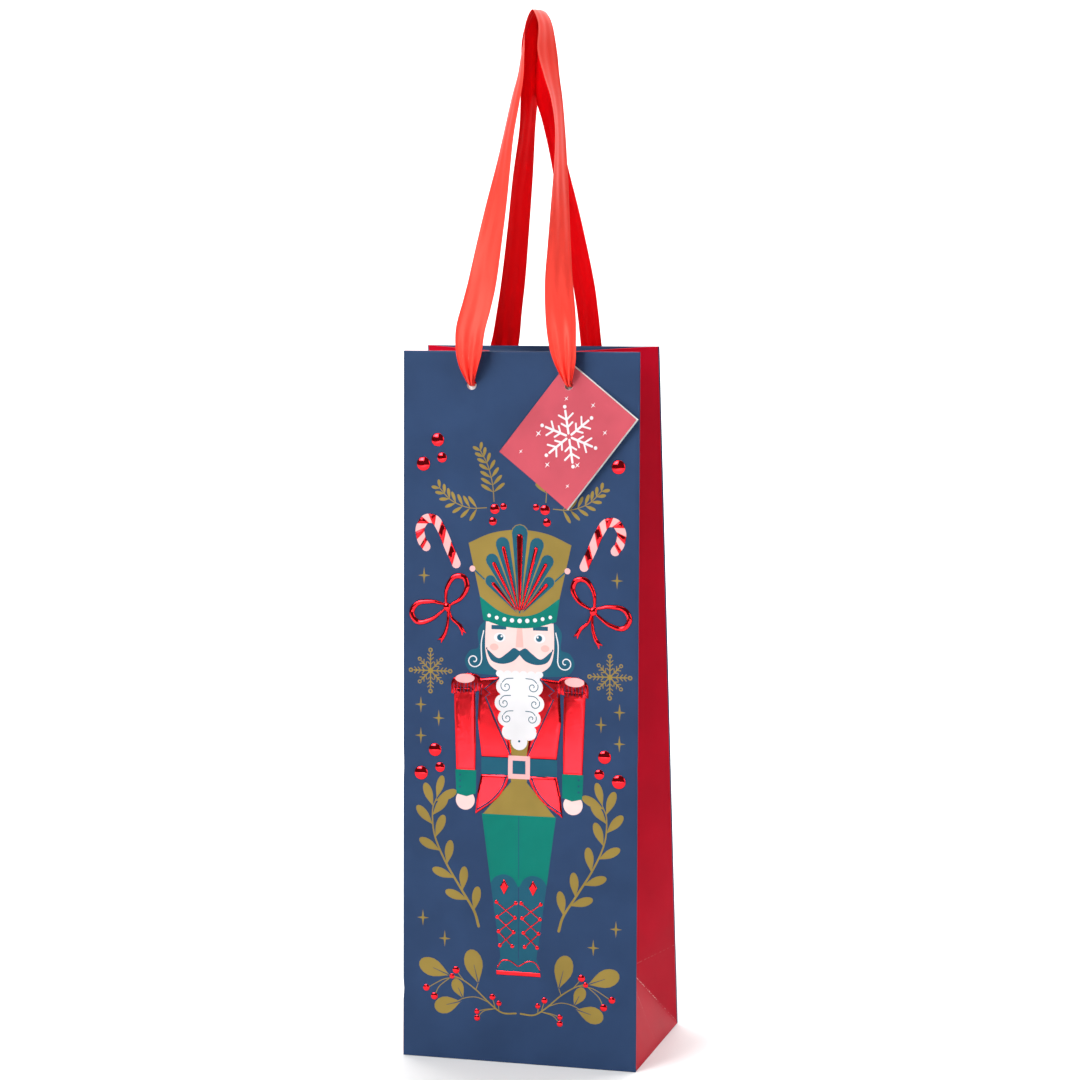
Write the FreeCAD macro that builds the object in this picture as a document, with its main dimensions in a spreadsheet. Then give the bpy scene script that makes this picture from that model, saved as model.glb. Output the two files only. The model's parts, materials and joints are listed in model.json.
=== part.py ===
import FreeCAD, Part
import math
import os
import Sketcher

# Wine gift bag: a tall bag folded from one sheet of laminated paper, with two ribbon handles
# and a folded gift tag. Millimetres. The origin is the centre of the flat base, +Z is up and
# the printed front faces -Y. The base stands open to its full depth, and the side gussets
# fold inwards towards the mouth, so the front and back lean together.

DIMENSIONS = [
    # the bag's sheet
    ("bag_width", 120.0),
    ("bag_height", 350.0),
    ("base_depth", 85.0),
    ("mouth_depth", 38.0),
    ("paper_thickness", 0.4),
    ("layer_gap", 0.1),
    ("tuck_start", 40.0),
    ("turnover_length", 40.0),
    ("turnover_margin", 5.5),
    ("seam_flap_width", 14.0),
    ("seam_flap_margin", 3.0),
    ("seam_flap_bottom", 4.8),
    ("seam_flap_top", 300.0),
    # the base's layers
    ("base_flap_length", 52.0),
    ("base_side_flap_length", 36.0),
    ("base_margin", 1.4),
    ("base_card_thickness", 1.2),
    ("base_card_margin", 2.2),
    # the stiffening cards behind the handle holes
    ("card_thickness", 0.8),
    ("card_length", 36.0),
    ("card_drop", 1.0),
    ("hole_spacing", 49.6),
    ("hole_drop", 16.5),
    ("hole_diameter", 5.0),
    # the ribbon handles and their knots
    ("ribbon_width", 14.0),
    ("ribbon_foot_width", 5.0),
    ("ribbon_thickness", 0.6),
    ("ribbon_spread", 18.0),
    ("ribbon_start", 2.3),
    ("handle_rise", 180.0),
    ("front_handle_shift", 7.8),
    ("back_handle_shift", 3.4),
    ("apex_spacing", 16.4),
    ("arch_outer_radius", 8.0),
    ("arch_inner_radius", 4.0),
    ("neck_radius", 1.8),
    ("front_standoff", 5.0),
    ("back_standoff", 2.5),
    ("knot_radius", 4.6),
    ("knot_half_thickness", 3.4),
    # the gift tag: two leaves of card hinged at a fold
    ("tag_length", 56.0),
    ("tag_width", 44.0),
    ("tag_thickness", 0.4),
    ("tag_clearance", 0.3),
    ("tag_hole_from_fold", 7.0),
    ("tag_hole_from_end", 9.0),
]

doc = FreeCAD.newDocument("wine_gift_bag")
sheet = doc.addObject("Spreadsheet::Sheet", "Dims")
for row, (alias, size) in enumerate(DIMENSIONS, start=1):
    sheet.set(f"A{row}", alias)
    sheet.set(f"B{row}", str(size))
    sheet.setAlias(f"B{row}", alias)
doc.recompute()

# Expressions shared by several pieces
HALF_WIDTH = "Dims.bag_width / 2"
HALF_BASE = "Dims.base_depth / 2"
TILT = "atan((Dims.base_depth - Dims.mouth_depth) / 2 / Dims.bag_height)"
SLANT = f"Dims.bag_height / cos({TILT})"
HOLE_HEIGHT = f"({SLANT} - Dims.hole_drop)"
HOLE_ACROSS = "Dims.hole_spacing / 2"
TURNOVER_HALF_WIDTH = f"({HALF_WIDTH} - Dims.turnover_margin)"

# Depths below a panel's outer face of the layers behind the handle holes
CARD_DEPTH = "(Dims.paper_thickness + Dims.layer_gap)"
TURNOVER_DEPTH = f"({CARD_DEPTH} + Dims.card_thickness + Dims.layer_gap)"
STACK_DEPTH = f"({TURNOVER_DEPTH} + Dims.paper_thickness + Dims.layer_gap)"

FRONT = -1
BACK = 1
LEFT = -1
RIGHT = 1

# Parts of the bag's height at which a gusset's section is drawn
GUSSET_LEVELS = (0.3, 0.55, 0.8, 1.0)


def measure(expression):
    """The value of an expression, as a plain number."""
    value = sheet.evalExpression(expression)
    return float(getattr(value, "Value", value))


def new_body(name):
    body = doc.addObject("PartDesign::Body", name)
    body.Label = name
    return body


def new_sketch(body, name, plane, offset="0"):
    """A sketch on one of the body's own origin planes, moved along that plane's normal."""
    sketch = body.newObject("Sketcher::SketchObject", name)
    support = [item for item in body.Origin.OriginFeatures if item.Role == plane][0]
    sketch.AttachmentSupport = [(support, "")]
    sketch.MapMode = "FlatFace"
    sketch.setExpression(".AttachmentOffset.Base.z", offset)
    return sketch


def pin(sketch, geometry, vertex, across, along, name):
    """Hold a vertex at a place given by two expressions, measured from the sketch's origin."""
    for axis, expression in (("X", across), ("Y", along)):
        place = measure(expression)
        constraint = Sketcher.Constraint("Distance" + axis, -1, 1, geometry, vertex, place)
        index = sketch.addConstraint(constraint)
        label = name + axis.lower()
        sketch.renameConstraint(index, label)
        sketch.setExpression("Constraints." + label, expression)


def add_polygon(sketch, corners):
    """A closed polygon whose corners are pairs of expressions."""
    points = [FreeCAD.Vector(measure(across), measure(along), 0) for across, along in corners]
    count = len(points)
    for index in range(count):
        sketch.addGeometry(Part.LineSegment(points[index], points[(index + 1) % count]))
    for index in range(count):
        sketch.addConstraint(Sketcher.Constraint("Coincident", index, 2, (index + 1) % count, 1))
    for index, (across, along) in enumerate(corners):
        pin(sketch, index, 1, across, along, f"corner{index}")


def add_rectangle(sketch, left, right, low, high):
    add_polygon(sketch, [(left, low), (right, low), (right, high), (left, high)])


def add_hole(sketch, across, along, diameter, name):
    centre = FreeCAD.Vector(measure(across), measure(along), 0)
    circle = Part.Circle(centre, FreeCAD.Vector(0, 0, 1), measure(diameter) / 2)
    index = sketch.addGeometry(circle)
    pin(sketch, index, 3, across, along, name)
    bore = sketch.addConstraint(Sketcher.Constraint("Diameter", index, measure(diameter)))
    sketch.renameConstraint(bore, name + "bore")
    sketch.setExpression(f"Constraints.{name}bore", diameter)


def pad(body, sketch, length, reverse=False):
    feature = body.newObject("PartDesign::Pad", body.Name + "_pad")
    feature.Profile = sketch
    feature.setExpression("Length", length)
    feature.Reversed = reverse
    sketch.Visibility = False
    return feature


# ---- Front and back: flat layers that lean with their panel -------------------------------

def panel_placement(side):
    """A panel turns about its bottom outer edge; the edge is raised so its inner side clears 0."""
    return (f"placement(vector(0; {side} * {HALF_BASE}; Dims.paper_thickness * sin({TILT}));"
            f" rotation(vector(1; 0; 0); {side} * {TILT}))")


def panel_layer(name, side, depth, thickness, edges, holed):
    """A layer of a leaning panel: depth is measured inwards from the panel's outer face."""
    body = new_body(name)
    sketch = new_sketch(body, name + "_outline", "XZ_Plane", f"{side} * {depth}")
    add_rectangle(sketch, *edges)
    if holed:
        add_hole(sketch, "-" + HOLE_ACROSS, HOLE_HEIGHT, "Dims.hole_diameter", "lefthole")
        add_hole(sketch, HOLE_ACROSS, HOLE_HEIGHT, "Dims.hole_diameter", "righthole")
    pad(body, sketch, thickness, reverse=side == FRONT)
    body.setExpression("Placement", panel_placement(side))
    return body


def make_panel(name, side):
    edges = ("-" + HALF_WIDTH, HALF_WIDTH, "0", SLANT)
    return panel_layer(name, side, "0", "Dims.paper_thickness", edges, holed=True)


def make_reinforcement_card(name, side):
    top = f"{SLANT} - Dims.card_drop"
    edges = ("-" + TURNOVER_HALF_WIDTH, TURNOVER_HALF_WIDTH, f"{top} - Dims.card_length", top)
    return panel_layer(name, side, CARD_DEPTH, "Dims.card_thickness", edges, holed=True)


def make_turnover(name, side):
    low = f"{SLANT} - Dims.turnover_length"
    edges = ("-" + TURNOVER_HALF_WIDTH, TURNOVER_HALF_WIDTH, low, SLANT)
    return panel_layer(name, side, TURNOVER_DEPTH, "Dims.paper_thickness", edges, holed=True)


def make_seam_flap(name):
    """The glued strip that closes the sheet, inside the back panel's left edge."""
    left = f"-{HALF_WIDTH} + Dims.seam_flap_margin"
    edges = (left, f"{left} + Dims.seam_flap_width", "Dims.seam_flap_bottom", "Dims.seam_flap_top")
    return panel_layer(name, BACK, CARD_DEPTH, "Dims.paper_thickness", edges, holed=False)


# ---- Side gussets: flat at the base, folded inwards to a V at the mouth ---------------------

def edge_depth(height):
    """Half the bag's depth at a height."""
    return f"({HALF_BASE} - (Dims.base_depth - Dims.mouth_depth) / 2 * ({height}) / Dims.bag_height)"


def tuck(height):
    """How far a gusset's centre crease stands in from its edges at a height."""
    return f"sqrt(pow({HALF_BASE}; 2) - pow({edge_depth(height)}; 2))"


def chevron(side, height, tucked, end_inset, layer):
    """The V-shaped section of a gusset's sheet; layer 0 is the gusset, layer 1 its turnover."""
    edge = edge_depth(height)
    crease = tuck(height) if tucked else "0"
    end = f"({edge} - {end_inset})"
    slip = f"{HALF_BASE} / {edge}"
    outer = f"{layer} * (Dims.paper_thickness + 2 * Dims.layer_gap) * {slip}"
    inner = f"({outer} + Dims.paper_thickness * {slip})"
    end_in = f"{crease} * {end_inset} / {edge}"
    corners = []
    for depth_in, depths in ((outer, (f"-{end}", "0", end)), (inner, (end, "0", f"-{end}"))):
        for along in depths:
            fold = crease if along == "0" else end_in
            corners.append((f"{side} * ({HALF_WIDTH} - {fold} - {depth_in})", along))
    return corners


def make_gusset(name, side, levels, end_inset, layer):
    """A folded sheet lofted through its sections; levels are (height, whether it is tucked in)."""
    body = new_body(name)
    sections = []
    for index, (height, tucked) in enumerate(levels):
        sketch = new_sketch(body, f"{name}_section{index}", "XY_Plane", height)
        add_polygon(sketch, chevron(side, height, tucked, end_inset, layer))
        sketch.Visibility = False
        sections.append(sketch)
    loft = body.newObject("PartDesign::AdditiveLoft", name + "_loft")
    loft.Profile = sections[0]
    loft.Sections = sections[1:]
    loft.Ruled = True
    return body


def make_side(name, side):
    levels = [("0", False), ("Dims.tuck_start", True)]
    levels += [(f"Dims.bag_height * {part}", True) for part in GUSSET_LEVELS]
    return make_gusset(name, side, levels, "(Dims.paper_thickness + Dims.layer_gap)", 0)


def make_side_turnover(name, side):
    levels = [("Dims.bag_height - Dims.turnover_length", True), ("Dims.bag_height", True)]
    return make_gusset(name, side, levels, f"({STACK_DEPTH} + Dims.paper_thickness)", 1)


# ---- Base: two glued flaps over two side flaps, and a loose stiffening card -----------------

def base_layer_height(layer):
    return f"({layer} * (Dims.paper_thickness + Dims.layer_gap))"


def make_base_layer(name, height, thickness, left, right, front, back):
    body = new_body(name)
    sketch = new_sketch(body, name + "_outline", "XY_Plane", height)
    add_rectangle(sketch, left, right, front, back)
    pad(body, sketch, thickness)
    return body


def make_base():
    across = f"({HALF_WIDTH} - Dims.base_margin)"
    along = f"({HALF_BASE} - Dims.base_margin)"
    paper = "Dims.paper_thickness"
    card_across = f"({HALF_WIDTH} - Dims.base_card_margin)"
    card_along = f"({HALF_BASE} - Dims.base_card_margin)"
    side_flap = "Dims.base_side_flap_length"
    return [
        make_base_layer("back_base_flap", base_layer_height(0), paper,
                        "-" + across, across, f"{along} - Dims.base_flap_length", along),
        make_base_layer("front_base_flap", base_layer_height(1), paper,
                        "-" + across, across, "-" + along, f"Dims.base_flap_length - {along}"),
        make_base_layer("left_base_flap", base_layer_height(2), paper,
                        "-" + across, f"{side_flap} - {across}", "-" + along, along),
        make_base_layer("right_base_flap", base_layer_height(2), paper,
                        f"{across} - {side_flap}", across, "-" + along, along),
        make_base_layer("base_card", base_layer_height(3), "Dims.base_card_thickness",
                        "-" + card_across, card_across, "-" + card_along, card_along),
    ]


# ---- Ribbon handles -------------------------------------------------------------------------

def pivot(side, standoff):
    """Depth and height of the line about which a ribbon loop swings, just outside its holes."""
    depth = f"({side} * ({HALF_BASE} - {HOLE_HEIGHT} * sin({TILT}) + {standoff} * cos({TILT})))"
    height = (f"({HOLE_HEIGHT} * cos({TILT}) + {standoff} * sin({TILT})"
              f" + Dims.paper_thickness * sin({TILT}))")
    return depth, height


def ribbon_edge(hand, edge, shift):
    """Corners of one edge of a ribbon leg, from its gathered foot up to where it is spread."""
    foot = f"{hand} * {HOLE_ACROSS}"
    arch = f"({shift} + {hand} * (Dims.arch_outer_radius + Dims.arch_inner_radius) / 2)"
    climb = "Dims.ribbon_spread / (Dims.handle_rise - Dims.arch_outer_radius)"
    middle = f"({foot} + ({arch} - {foot}) * {climb})"
    return [(f"{foot} + {edge} * Dims.ribbon_foot_width / 2", "Dims.ribbon_start"),
            (f"{middle} + {edge} * Dims.ribbon_width / 2", "Dims.ribbon_spread")]


def ribbon_outline(sketch, shift):
    """One closed outline: up the left leg, over the arch, down the right leg and back inside."""
    shoulder = "(Dims.handle_rise - Dims.arch_outer_radius)"
    outer_radius = "Dims.arch_outer_radius"
    inner_radius = "Dims.arch_inner_radius"
    outer = ribbon_edge(LEFT, LEFT, shift) + [(f"{shift} - {outer_radius}", shoulder)]
    outer_right = [(f"{shift} + {outer_radius}", shoulder)]
    outer_right += ribbon_edge(RIGHT, RIGHT, shift)[::-1]
    inner_right = ribbon_edge(RIGHT, LEFT, shift) + [(f"{shift} + {inner_radius}", shoulder)]
    inner = [(f"{shift} - {inner_radius}", shoulder)] + ribbon_edge(LEFT, RIGHT, shift)[::-1]
    corners = outer + outer_right + inner_right + inner
    places = [FreeCAD.Vector(measure(across), measure(along), 0) for across, along in corners]
    arches = {len(outer) - 1: outer_radius, len(outer + outer_right + inner_right) - 1: inner_radius}
    count = len(corners)
    ends = []
    for index in range(count):
        first, second = places[index], places[(index + 1) % count]
        if index in arches:
            centre = (first + second) * 0.5
            circle = Part.Circle(centre, FreeCAD.Vector(0, 0, 1), (first - second).Length / 2)
            rising = first.x < second.x
            sketch.addGeometry(Part.ArcOfCircle(circle, 0.0, math.pi))
            ends.append((2, 1) if rising else (1, 2))
        else:
            sketch.addGeometry(Part.LineSegment(first, second))
            ends.append((1, 2))
    for index in range(count):
        following = (index + 1) % count
        sketch.addConstraint(Sketcher.Constraint(
            "Coincident", index, ends[index][1], following, ends[following][0]))
    for index, (across, along) in enumerate(corners):
        pin(sketch, index, ends[index][0], across, along, f"corner{index}")
    for index in arches:
        constraint = Sketcher.Constraint("DistanceY", -1, 1, index, 3, measure(shoulder))
        level = sketch.addConstraint(constraint)
        sketch.renameConstraint(level, f"arch{index}")
        sketch.setExpression(f"Constraints.arch{index}", shoulder)


def make_ribbon(name, side, standoff, shift):
    """A ribbon loop in its own plane, which leans in from the holes to the arch."""
    body = new_body(name)
    sketch = new_sketch(body, name + "_outline", "XZ_Plane", "Dims.ribbon_thickness / -2")
    ribbon_outline(sketch, shift)
    pad(body, sketch, "Dims.ribbon_thickness")
    depth, height = pivot(side, standoff)
    lean = f"atan(({side} * {depth} - Dims.apex_spacing / 2) / Dims.handle_rise)"
    body.setExpression("Placement", f"placement(vector(0; {depth}; {height});"
                                    f" rotation(vector(1; 0; 0); {side} * {lean}))")
    return body


def make_knots(name, side, standoff):
    """Two knots behind the turnover, each with the gathered neck that passes out of its hole."""
    neck_length = f"({standoff} + {STACK_DEPTH} + Dims.knot_half_thickness)"
    shapes = []
    for label, hand in (("left", LEFT), ("right", RIGHT)):
        across = f"{hand} * {HOLE_ACROSS}"
        knot = doc.addObject("Part::Ellipsoid", f"{name}_{label}_knot")
        knot.setExpression("Radius1", "Dims.knot_half_thickness")
        knot.setExpression("Radius2", "Dims.knot_radius")
        knot.setExpression("Radius3", "Dims.knot_radius")
        depth = f"({STACK_DEPTH} + Dims.knot_half_thickness)"
        knot.setExpression("Placement", f"placement(vector({across}; {-side} * {depth}; 0);"
                                        " rotation(vector(1; 0; 0); 90))")
        neck = doc.addObject("Part::Cylinder", f"{name}_{label}_neck")
        neck.setExpression("Radius", "Dims.neck_radius")
        neck.setExpression("Height", neck_length)
        neck.setExpression("Placement", f"placement(vector({across}; {side} * {standoff}; 0);"
                                        f" rotation(vector(1; 0; 0); {side} * 90))")
        end = doc.addObject("Part::Sphere", f"{name}_{label}_end")
        end.setExpression("Radius", "Dims.neck_radius")
        end.setExpression("Placement", f"placement(vector({across}; {side} * {standoff}; 0);"
                                       " rotation(vector(1; 0; 0); 0))")
        shapes += [knot, neck, end]
    knots = doc.addObject("Part::MultiFuse", name)
    knots.Label = name
    knots.Shapes = shapes
    depth = f"({side} * ({HALF_BASE} - {HOLE_HEIGHT} * sin({TILT})))"
    height = f"({HOLE_HEIGHT} * cos({TILT}) + Dims.paper_thickness * sin({TILT}))"
    knots.setExpression("Placement", f"placement(vector(0; {depth}; {height});"
                                     f" rotation(vector(1; 0; 0); {side} * {TILT}))")
    return knots


# ---- Gift tag: hangs from the right front neck and balances about its hole ------------------

HANG_ANGLE = ("atan((Dims.tag_width / 2 - Dims.tag_hole_from_fold)"
              " / (Dims.tag_length / 2 - Dims.tag_hole_from_end))")


def make_tag_leaf(name, leaf):
    """A leaf drawn about the hole; leaf 0 lies by the panel and leaf 1 is the cover."""
    body = new_body(name)
    standoff = f"(Dims.tag_clearance + {leaf} * (Dims.tag_thickness + Dims.tag_clearance))"
    sketch = new_sketch(body, name + "_outline", "XZ_Plane", standoff)
    add_rectangle(sketch, "-Dims.tag_hole_from_fold", "Dims.tag_width - Dims.tag_hole_from_fold",
                  "Dims.tag_hole_from_end - Dims.tag_length", "Dims.tag_hole_from_end")
    add_hole(sketch, "0", "0", "Dims.hole_diameter", "hole")
    pad(body, sketch, "Dims.tag_thickness")
    depth = f"({HOLE_HEIGHT} * sin({TILT}) - {HALF_BASE})"
    height = f"({HOLE_HEIGHT} * cos({TILT}) + Dims.paper_thickness * sin({TILT}))"
    body.setExpression("Placement", f"placement(vector({HOLE_ACROSS}; {depth}; {height});"
                                    f" rotation(vector(1; 0; 0); -{TILT})"
                                    f" * rotation(vector(0; 1; 0); {HANG_ANGLE}))")
    return body


def check(parts):
    """Stop before anything is written if a feature failed or a solid is not sound."""
    for item in doc.Objects:
        if {"Invalid", "Error"} & set(item.State):
            raise RuntimeError(f"{item.Label} did not compute: {item.State}")
    for piece in parts:
        if piece.Shape.isNull() or not piece.Shape.isValid() or piece.Shape.Volume <= 0:
            raise RuntimeError(f"{piece.Label} has no sound shape")


parts = [
    make_panel("front_panel", FRONT),
    make_panel("back_panel", BACK),
    make_side("left_gusset", LEFT),
    make_side("right_gusset", RIGHT),
    make_seam_flap("side_seam_flap"),
    make_reinforcement_card("front_reinforcement_card", FRONT),
    make_reinforcement_card("back_reinforcement_card", BACK),
    make_turnover("front_turnover", FRONT),
    make_turnover("back_turnover", BACK),
    make_side_turnover("left_gusset_turnover", LEFT),
    make_side_turnover("right_gusset_turnover", RIGHT),
]
parts += make_base()
parts += [
    make_ribbon("front_handle_ribbon", FRONT, "Dims.front_standoff", "Dims.front_handle_shift"),
    make_ribbon("back_handle_ribbon", BACK, "Dims.back_standoff", "Dims.back_handle_shift"),
    make_knots("front_handle_knots", FRONT, "Dims.front_standoff"),
    make_knots("back_handle_knots", BACK, "Dims.back_standoff"),
    make_tag_leaf("tag_back_leaf", 0),
    make_tag_leaf("tag_cover_leaf", 1),
]
doc.recompute()
check(parts)
os.makedirs("parts", exist_ok=True)
for piece in parts:
    piece.Shape.exportStep(f"parts/{piece.Label}.step")
    box = piece.Shape.BoundBox
    print(f"{piece.Label}: {piece.Shape.Volume:.1f} mm3, x {box.XMin:.2f} to {box.XMax:.2f},"
          f" y {box.YMin:.2f} to {box.YMax:.2f}, z {box.ZMin:.2f} to {box.ZMax:.2f}")
for label, expression in (("tilt of the panels", TILT), ("hang angle of the tag", HANG_ANGLE),
                          ("front pivot depth", pivot(FRONT, "Dims.front_standoff")[0]),
                          ("front pivot height", pivot(FRONT, "Dims.front_standoff")[1]),
                          ("back pivot depth", pivot(BACK, "Dims.back_standoff")[0]),
                          ("back pivot height", pivot(BACK, "Dims.back_standoff")[1])):
    print(f"{label}: {measure(expression):.4f}")
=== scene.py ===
import json
import math

import bmesh
import bpy
import numpy as np
from mathutils import Matrix, Vector
from mathutils.geometry import delaunay_2d_cdt


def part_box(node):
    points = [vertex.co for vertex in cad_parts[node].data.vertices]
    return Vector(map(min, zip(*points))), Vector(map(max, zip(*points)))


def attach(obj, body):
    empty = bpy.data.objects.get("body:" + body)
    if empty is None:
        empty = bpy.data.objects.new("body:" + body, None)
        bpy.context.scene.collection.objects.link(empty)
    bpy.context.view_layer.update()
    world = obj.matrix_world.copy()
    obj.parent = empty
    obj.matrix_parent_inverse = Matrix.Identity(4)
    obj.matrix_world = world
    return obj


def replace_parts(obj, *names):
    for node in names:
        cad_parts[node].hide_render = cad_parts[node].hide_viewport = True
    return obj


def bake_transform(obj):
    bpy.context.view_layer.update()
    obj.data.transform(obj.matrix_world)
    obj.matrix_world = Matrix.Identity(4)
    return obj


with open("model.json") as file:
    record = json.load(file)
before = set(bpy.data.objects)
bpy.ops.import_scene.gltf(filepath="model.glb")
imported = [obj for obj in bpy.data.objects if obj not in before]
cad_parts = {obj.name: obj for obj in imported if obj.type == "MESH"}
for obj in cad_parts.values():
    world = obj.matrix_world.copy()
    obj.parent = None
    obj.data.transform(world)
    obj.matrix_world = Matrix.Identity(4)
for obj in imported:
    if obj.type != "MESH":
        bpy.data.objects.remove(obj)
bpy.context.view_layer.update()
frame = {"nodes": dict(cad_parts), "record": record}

bl_info = {
    "name": "Wine Gift Bag",
    "version": (1, 0, 0),
    "blender": (4, 5, 0),
    "location": "3D View > Sidebar > Gift Bag",
    "description": "Builds the looks of a folded-paper bottle bag around its CAD frame",
    "category": "Object",
}

MM = 0.001
FRONT, BACK = -1, 1
LEFT, RIGHT = -1, 1
FACES = {FRONT: "front", BACK: "back"}
SIDES = {LEFT: "left", RIGHT: "right"}


# ---- Sizes read from the frame ---------------------------------------------------------------

def corners(node):
    low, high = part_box(node)
    return Vector(low), Vector(high)


def hinge(name):
    found = [joint for joint in frame["record"]["behaviour"]["joints"] if joint["name"] == name][0]
    return Vector(found["pos_m"]), Vector(found["axis"]).normalized()


PANEL_LOW, PANEL_HIGH = corners("front_panel")
FLAP_LOW, FLAP_HIGH = corners("back_base_flap")
TURNOVER_LOW, TURNOVER_HIGH = corners("front_turnover")

PAPER = FLAP_HIGH.z - FLAP_LOW.z
HALF_WIDTH = PANEL_HIGH.x
HALF_BASE = -PANEL_LOW.y
HALF_MOUTH = -PANEL_HIGH.y + PAPER
HEIGHT = PANEL_HIGH.z
TILT = math.atan((HALF_BASE - HALF_MOUTH) / HEIGHT)
SLANT = HEIGHT / math.cos(TILT)
STACK = 4.5 * PAPER                                   # panel, card and turnover together
HEM_EDGE = TURNOVER_LOW.z / math.cos(TILT) / MM       # its height up the sheet, in millimetres
HOLE_POINT, HOLE_AXIS = hinge("tag_swing")
HOLE_X = HOLE_POINT.x
HOLE_V = HOLE_POINT.z / math.cos(TILT)
HOLE_RADIUS = 2.5 * MM
FOLD_POINT, FOLD_AXIS = hinge("tag_cover_open")
PIVOT = {FRONT: hinge("front_handle_swing")[0], BACK: hinge("back_handle_swing")[0]}


# ---- Shader expressions -----------------------------------------------------------------------

class Value:
    """A socket that takes part in arithmetic; each operation adds one Math node."""

    def __init__(self, tree, socket):
        self.tree = tree
        self.socket = socket

    def math(self, operation, *others, first=None):
        node = self.tree.nodes.new("ShaderNodeMath")
        node.operation = operation
        operands = ([first] if first is not None else []) + [self] + list(others)
        for slot, operand in zip(node.inputs, operands):
            if isinstance(operand, Value):
                self.tree.links.new(operand.socket, slot)
            else:
                slot.default_value = operand
        return Value(self.tree, node.outputs[0])

    def __add__(self, other):
        return self.math("ADD", other)

    __radd__ = __add__

    def __mul__(self, other):
        return self.math("MULTIPLY", other)

    __rmul__ = __mul__

    def __sub__(self, other):
        return self.math("SUBTRACT", other)

    def __rsub__(self, other):
        return self.math("SUBTRACT", first=other)

    def __abs__(self):
        return self.math("ABSOLUTE")


class Finish:
    """A material under construction around one Principled shader."""

    def __init__(self, name):
        self.material = bpy.data.materials.new(name)
        self.material.use_nodes = True
        self.tree = self.material.node_tree
        self.shader = self.tree.nodes["Principled BSDF"]

    def node(self, kind, settings=None, inputs=None, output=0):
        made = self.tree.nodes.new(kind)
        for key, setting in (settings or {}).items():
            setattr(made, key, setting)
        for key, value in (inputs or {}).items():
            self.feed(made.inputs[key], value)
        return Value(self.tree, made.outputs[output])

    def feed(self, socket, value):
        if isinstance(value, Value):
            self.tree.links.new(value.socket, socket)
        else:
            socket.default_value = value

    def set(self, **inputs):
        for key, value in inputs.items():
            self.feed(self.shader.inputs[key.replace("_", " ")], value)

    def object_coordinates(self):
        return self.node("ShaderNodeTexCoord", output="Object")

    def flat_coordinates(self):
        return self.node("ShaderNodeUVMap", {"uv_map": "flat"})

    def axes(self, vector):
        split = self.node("ShaderNodeSeparateXYZ", inputs={"Vector": vector})
        return [Value(self.tree, socket) for socket in split.socket.node.outputs]

    def noise(self, vector, scale, detail=2.0, roughness=0.5, stretch=None):
        if stretch:
            vector = self.node("ShaderNodeMapping", inputs={"Vector": vector, "Scale": stretch})
        return self.node("ShaderNodeTexNoise", inputs={
            "Vector": vector, "Scale": scale, "Detail": detail, "Roughness": roughness})

    def remap(self, value, low, high, to_low=0.0, to_high=1.0):
        return self.node("ShaderNodeMapRange", {"clamp": True}, {
            "Value": value, "From Min": low, "From Max": high, "To Min": to_low, "To Max": to_high})

    def mix(self, factor, first, second):
        made = self.tree.nodes.new("ShaderNodeMix")
        made.data_type = "RGBA"
        self.feed(made.inputs["Factor"], factor)
        for index, colour in ((6, first), (7, second)):
            self.feed(made.inputs[index], colour if isinstance(colour, Value) else (*colour, 1.0))
        return Value(self.tree, made.outputs[2])

    def bump(self, height, distance, strength):
        return self.node("ShaderNodeBump", inputs={
            "Height": height, "Distance": distance, "Strength": strength})


def tone(colour, amount):
    return tuple(min(1.0, channel * amount) for channel in colour)


# ---- Finishes -----------------------------------------------------------------------------------

def laminated_finish(name, colour, roughness=0.4, gloss=0.1):
    """Printed paper under a satin film: faint mottling in the ink and a fine tooth in the film."""
    finish = Finish(name)
    place = finish.object_coordinates()
    mottle = finish.noise(place, 42.0, 3.0)
    fibre = finish.noise(place, 2600.0, 2.0)
    cloud = finish.noise(place, 9.0, 2.0)
    ink = finish.mix(finish.remap(mottle, 0.35, 0.65), tone(colour, 0.93), tone(colour, 1.08))
    rough = finish.remap(cloud, 0.3, 0.7, roughness - 0.04, roughness + 0.05)
    finish.set(Base_Color=ink, Roughness=rough, Specular_IOR_Level=gloss,
               Normal=finish.bump(fibre, 0.012 * MM, 0.6))
    return finish.material


def gusset_finish(name, colour):
    """The gussets' red film, rubbed pale along the creases at the foot."""
    finish = Finish(name)
    place = finish.object_coordinates()
    across, up, _ = finish.axes(finish.flat_coordinates())
    from_edge = HALF_BASE - abs(across)
    wander = finish.noise(place, 260.0, 3.0) - 0.5
    broken = finish.remap(finish.noise(place, 520.0, 4.0), 0.44, 0.6)
    lines = []
    # for each crease: distance from it, how high it is worn, its width and how pale it is
    for offset, high, width, strength in (
            (from_edge - up, HALF_BASE * 0.98, 0.42 * MM, 0.9),
            (up - HALF_BASE, 1.0, 0.36 * MM, 0.3),
            (abs(across), HALF_BASE, 0.35 * MM, 0.14)):
        near = finish.remap(abs(offset + wander * (0.5 * MM)), width * 0.35, width, 1.0, 0.0)
        fading_in = finish.remap(up, high * 0.35, high * 0.6, 0.25, 1.0)
        inside = fading_in * finish.remap(up, high, high + 0.4 * MM, 1.0, 0.0)
        lines.append(near * inside * broken * strength)
    worn = lines[0].math("MAXIMUM", lines[1]).math("MAXIMUM", lines[2])
    mottle = finish.remap(finish.noise(place, 36.0, 3.0), 0.35, 0.65)
    red = finish.mix(mottle, tone(colour, 0.94), tone(colour, 1.06))
    fibre = finish.noise(place, 2600.0, 2.0)
    rough = finish.remap(finish.noise(place, 8.0), 0.3, 0.7, 0.36, 0.46)
    finish.set(Base_Color=finish.mix(worn, red, (0.86, 0.66, 0.6)), Roughness=rough + worn * 0.3,
               Specular_IOR_Level=0.06, Normal=finish.bump(fibre, 0.012 * MM, 0.6))
    return finish.material


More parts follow.
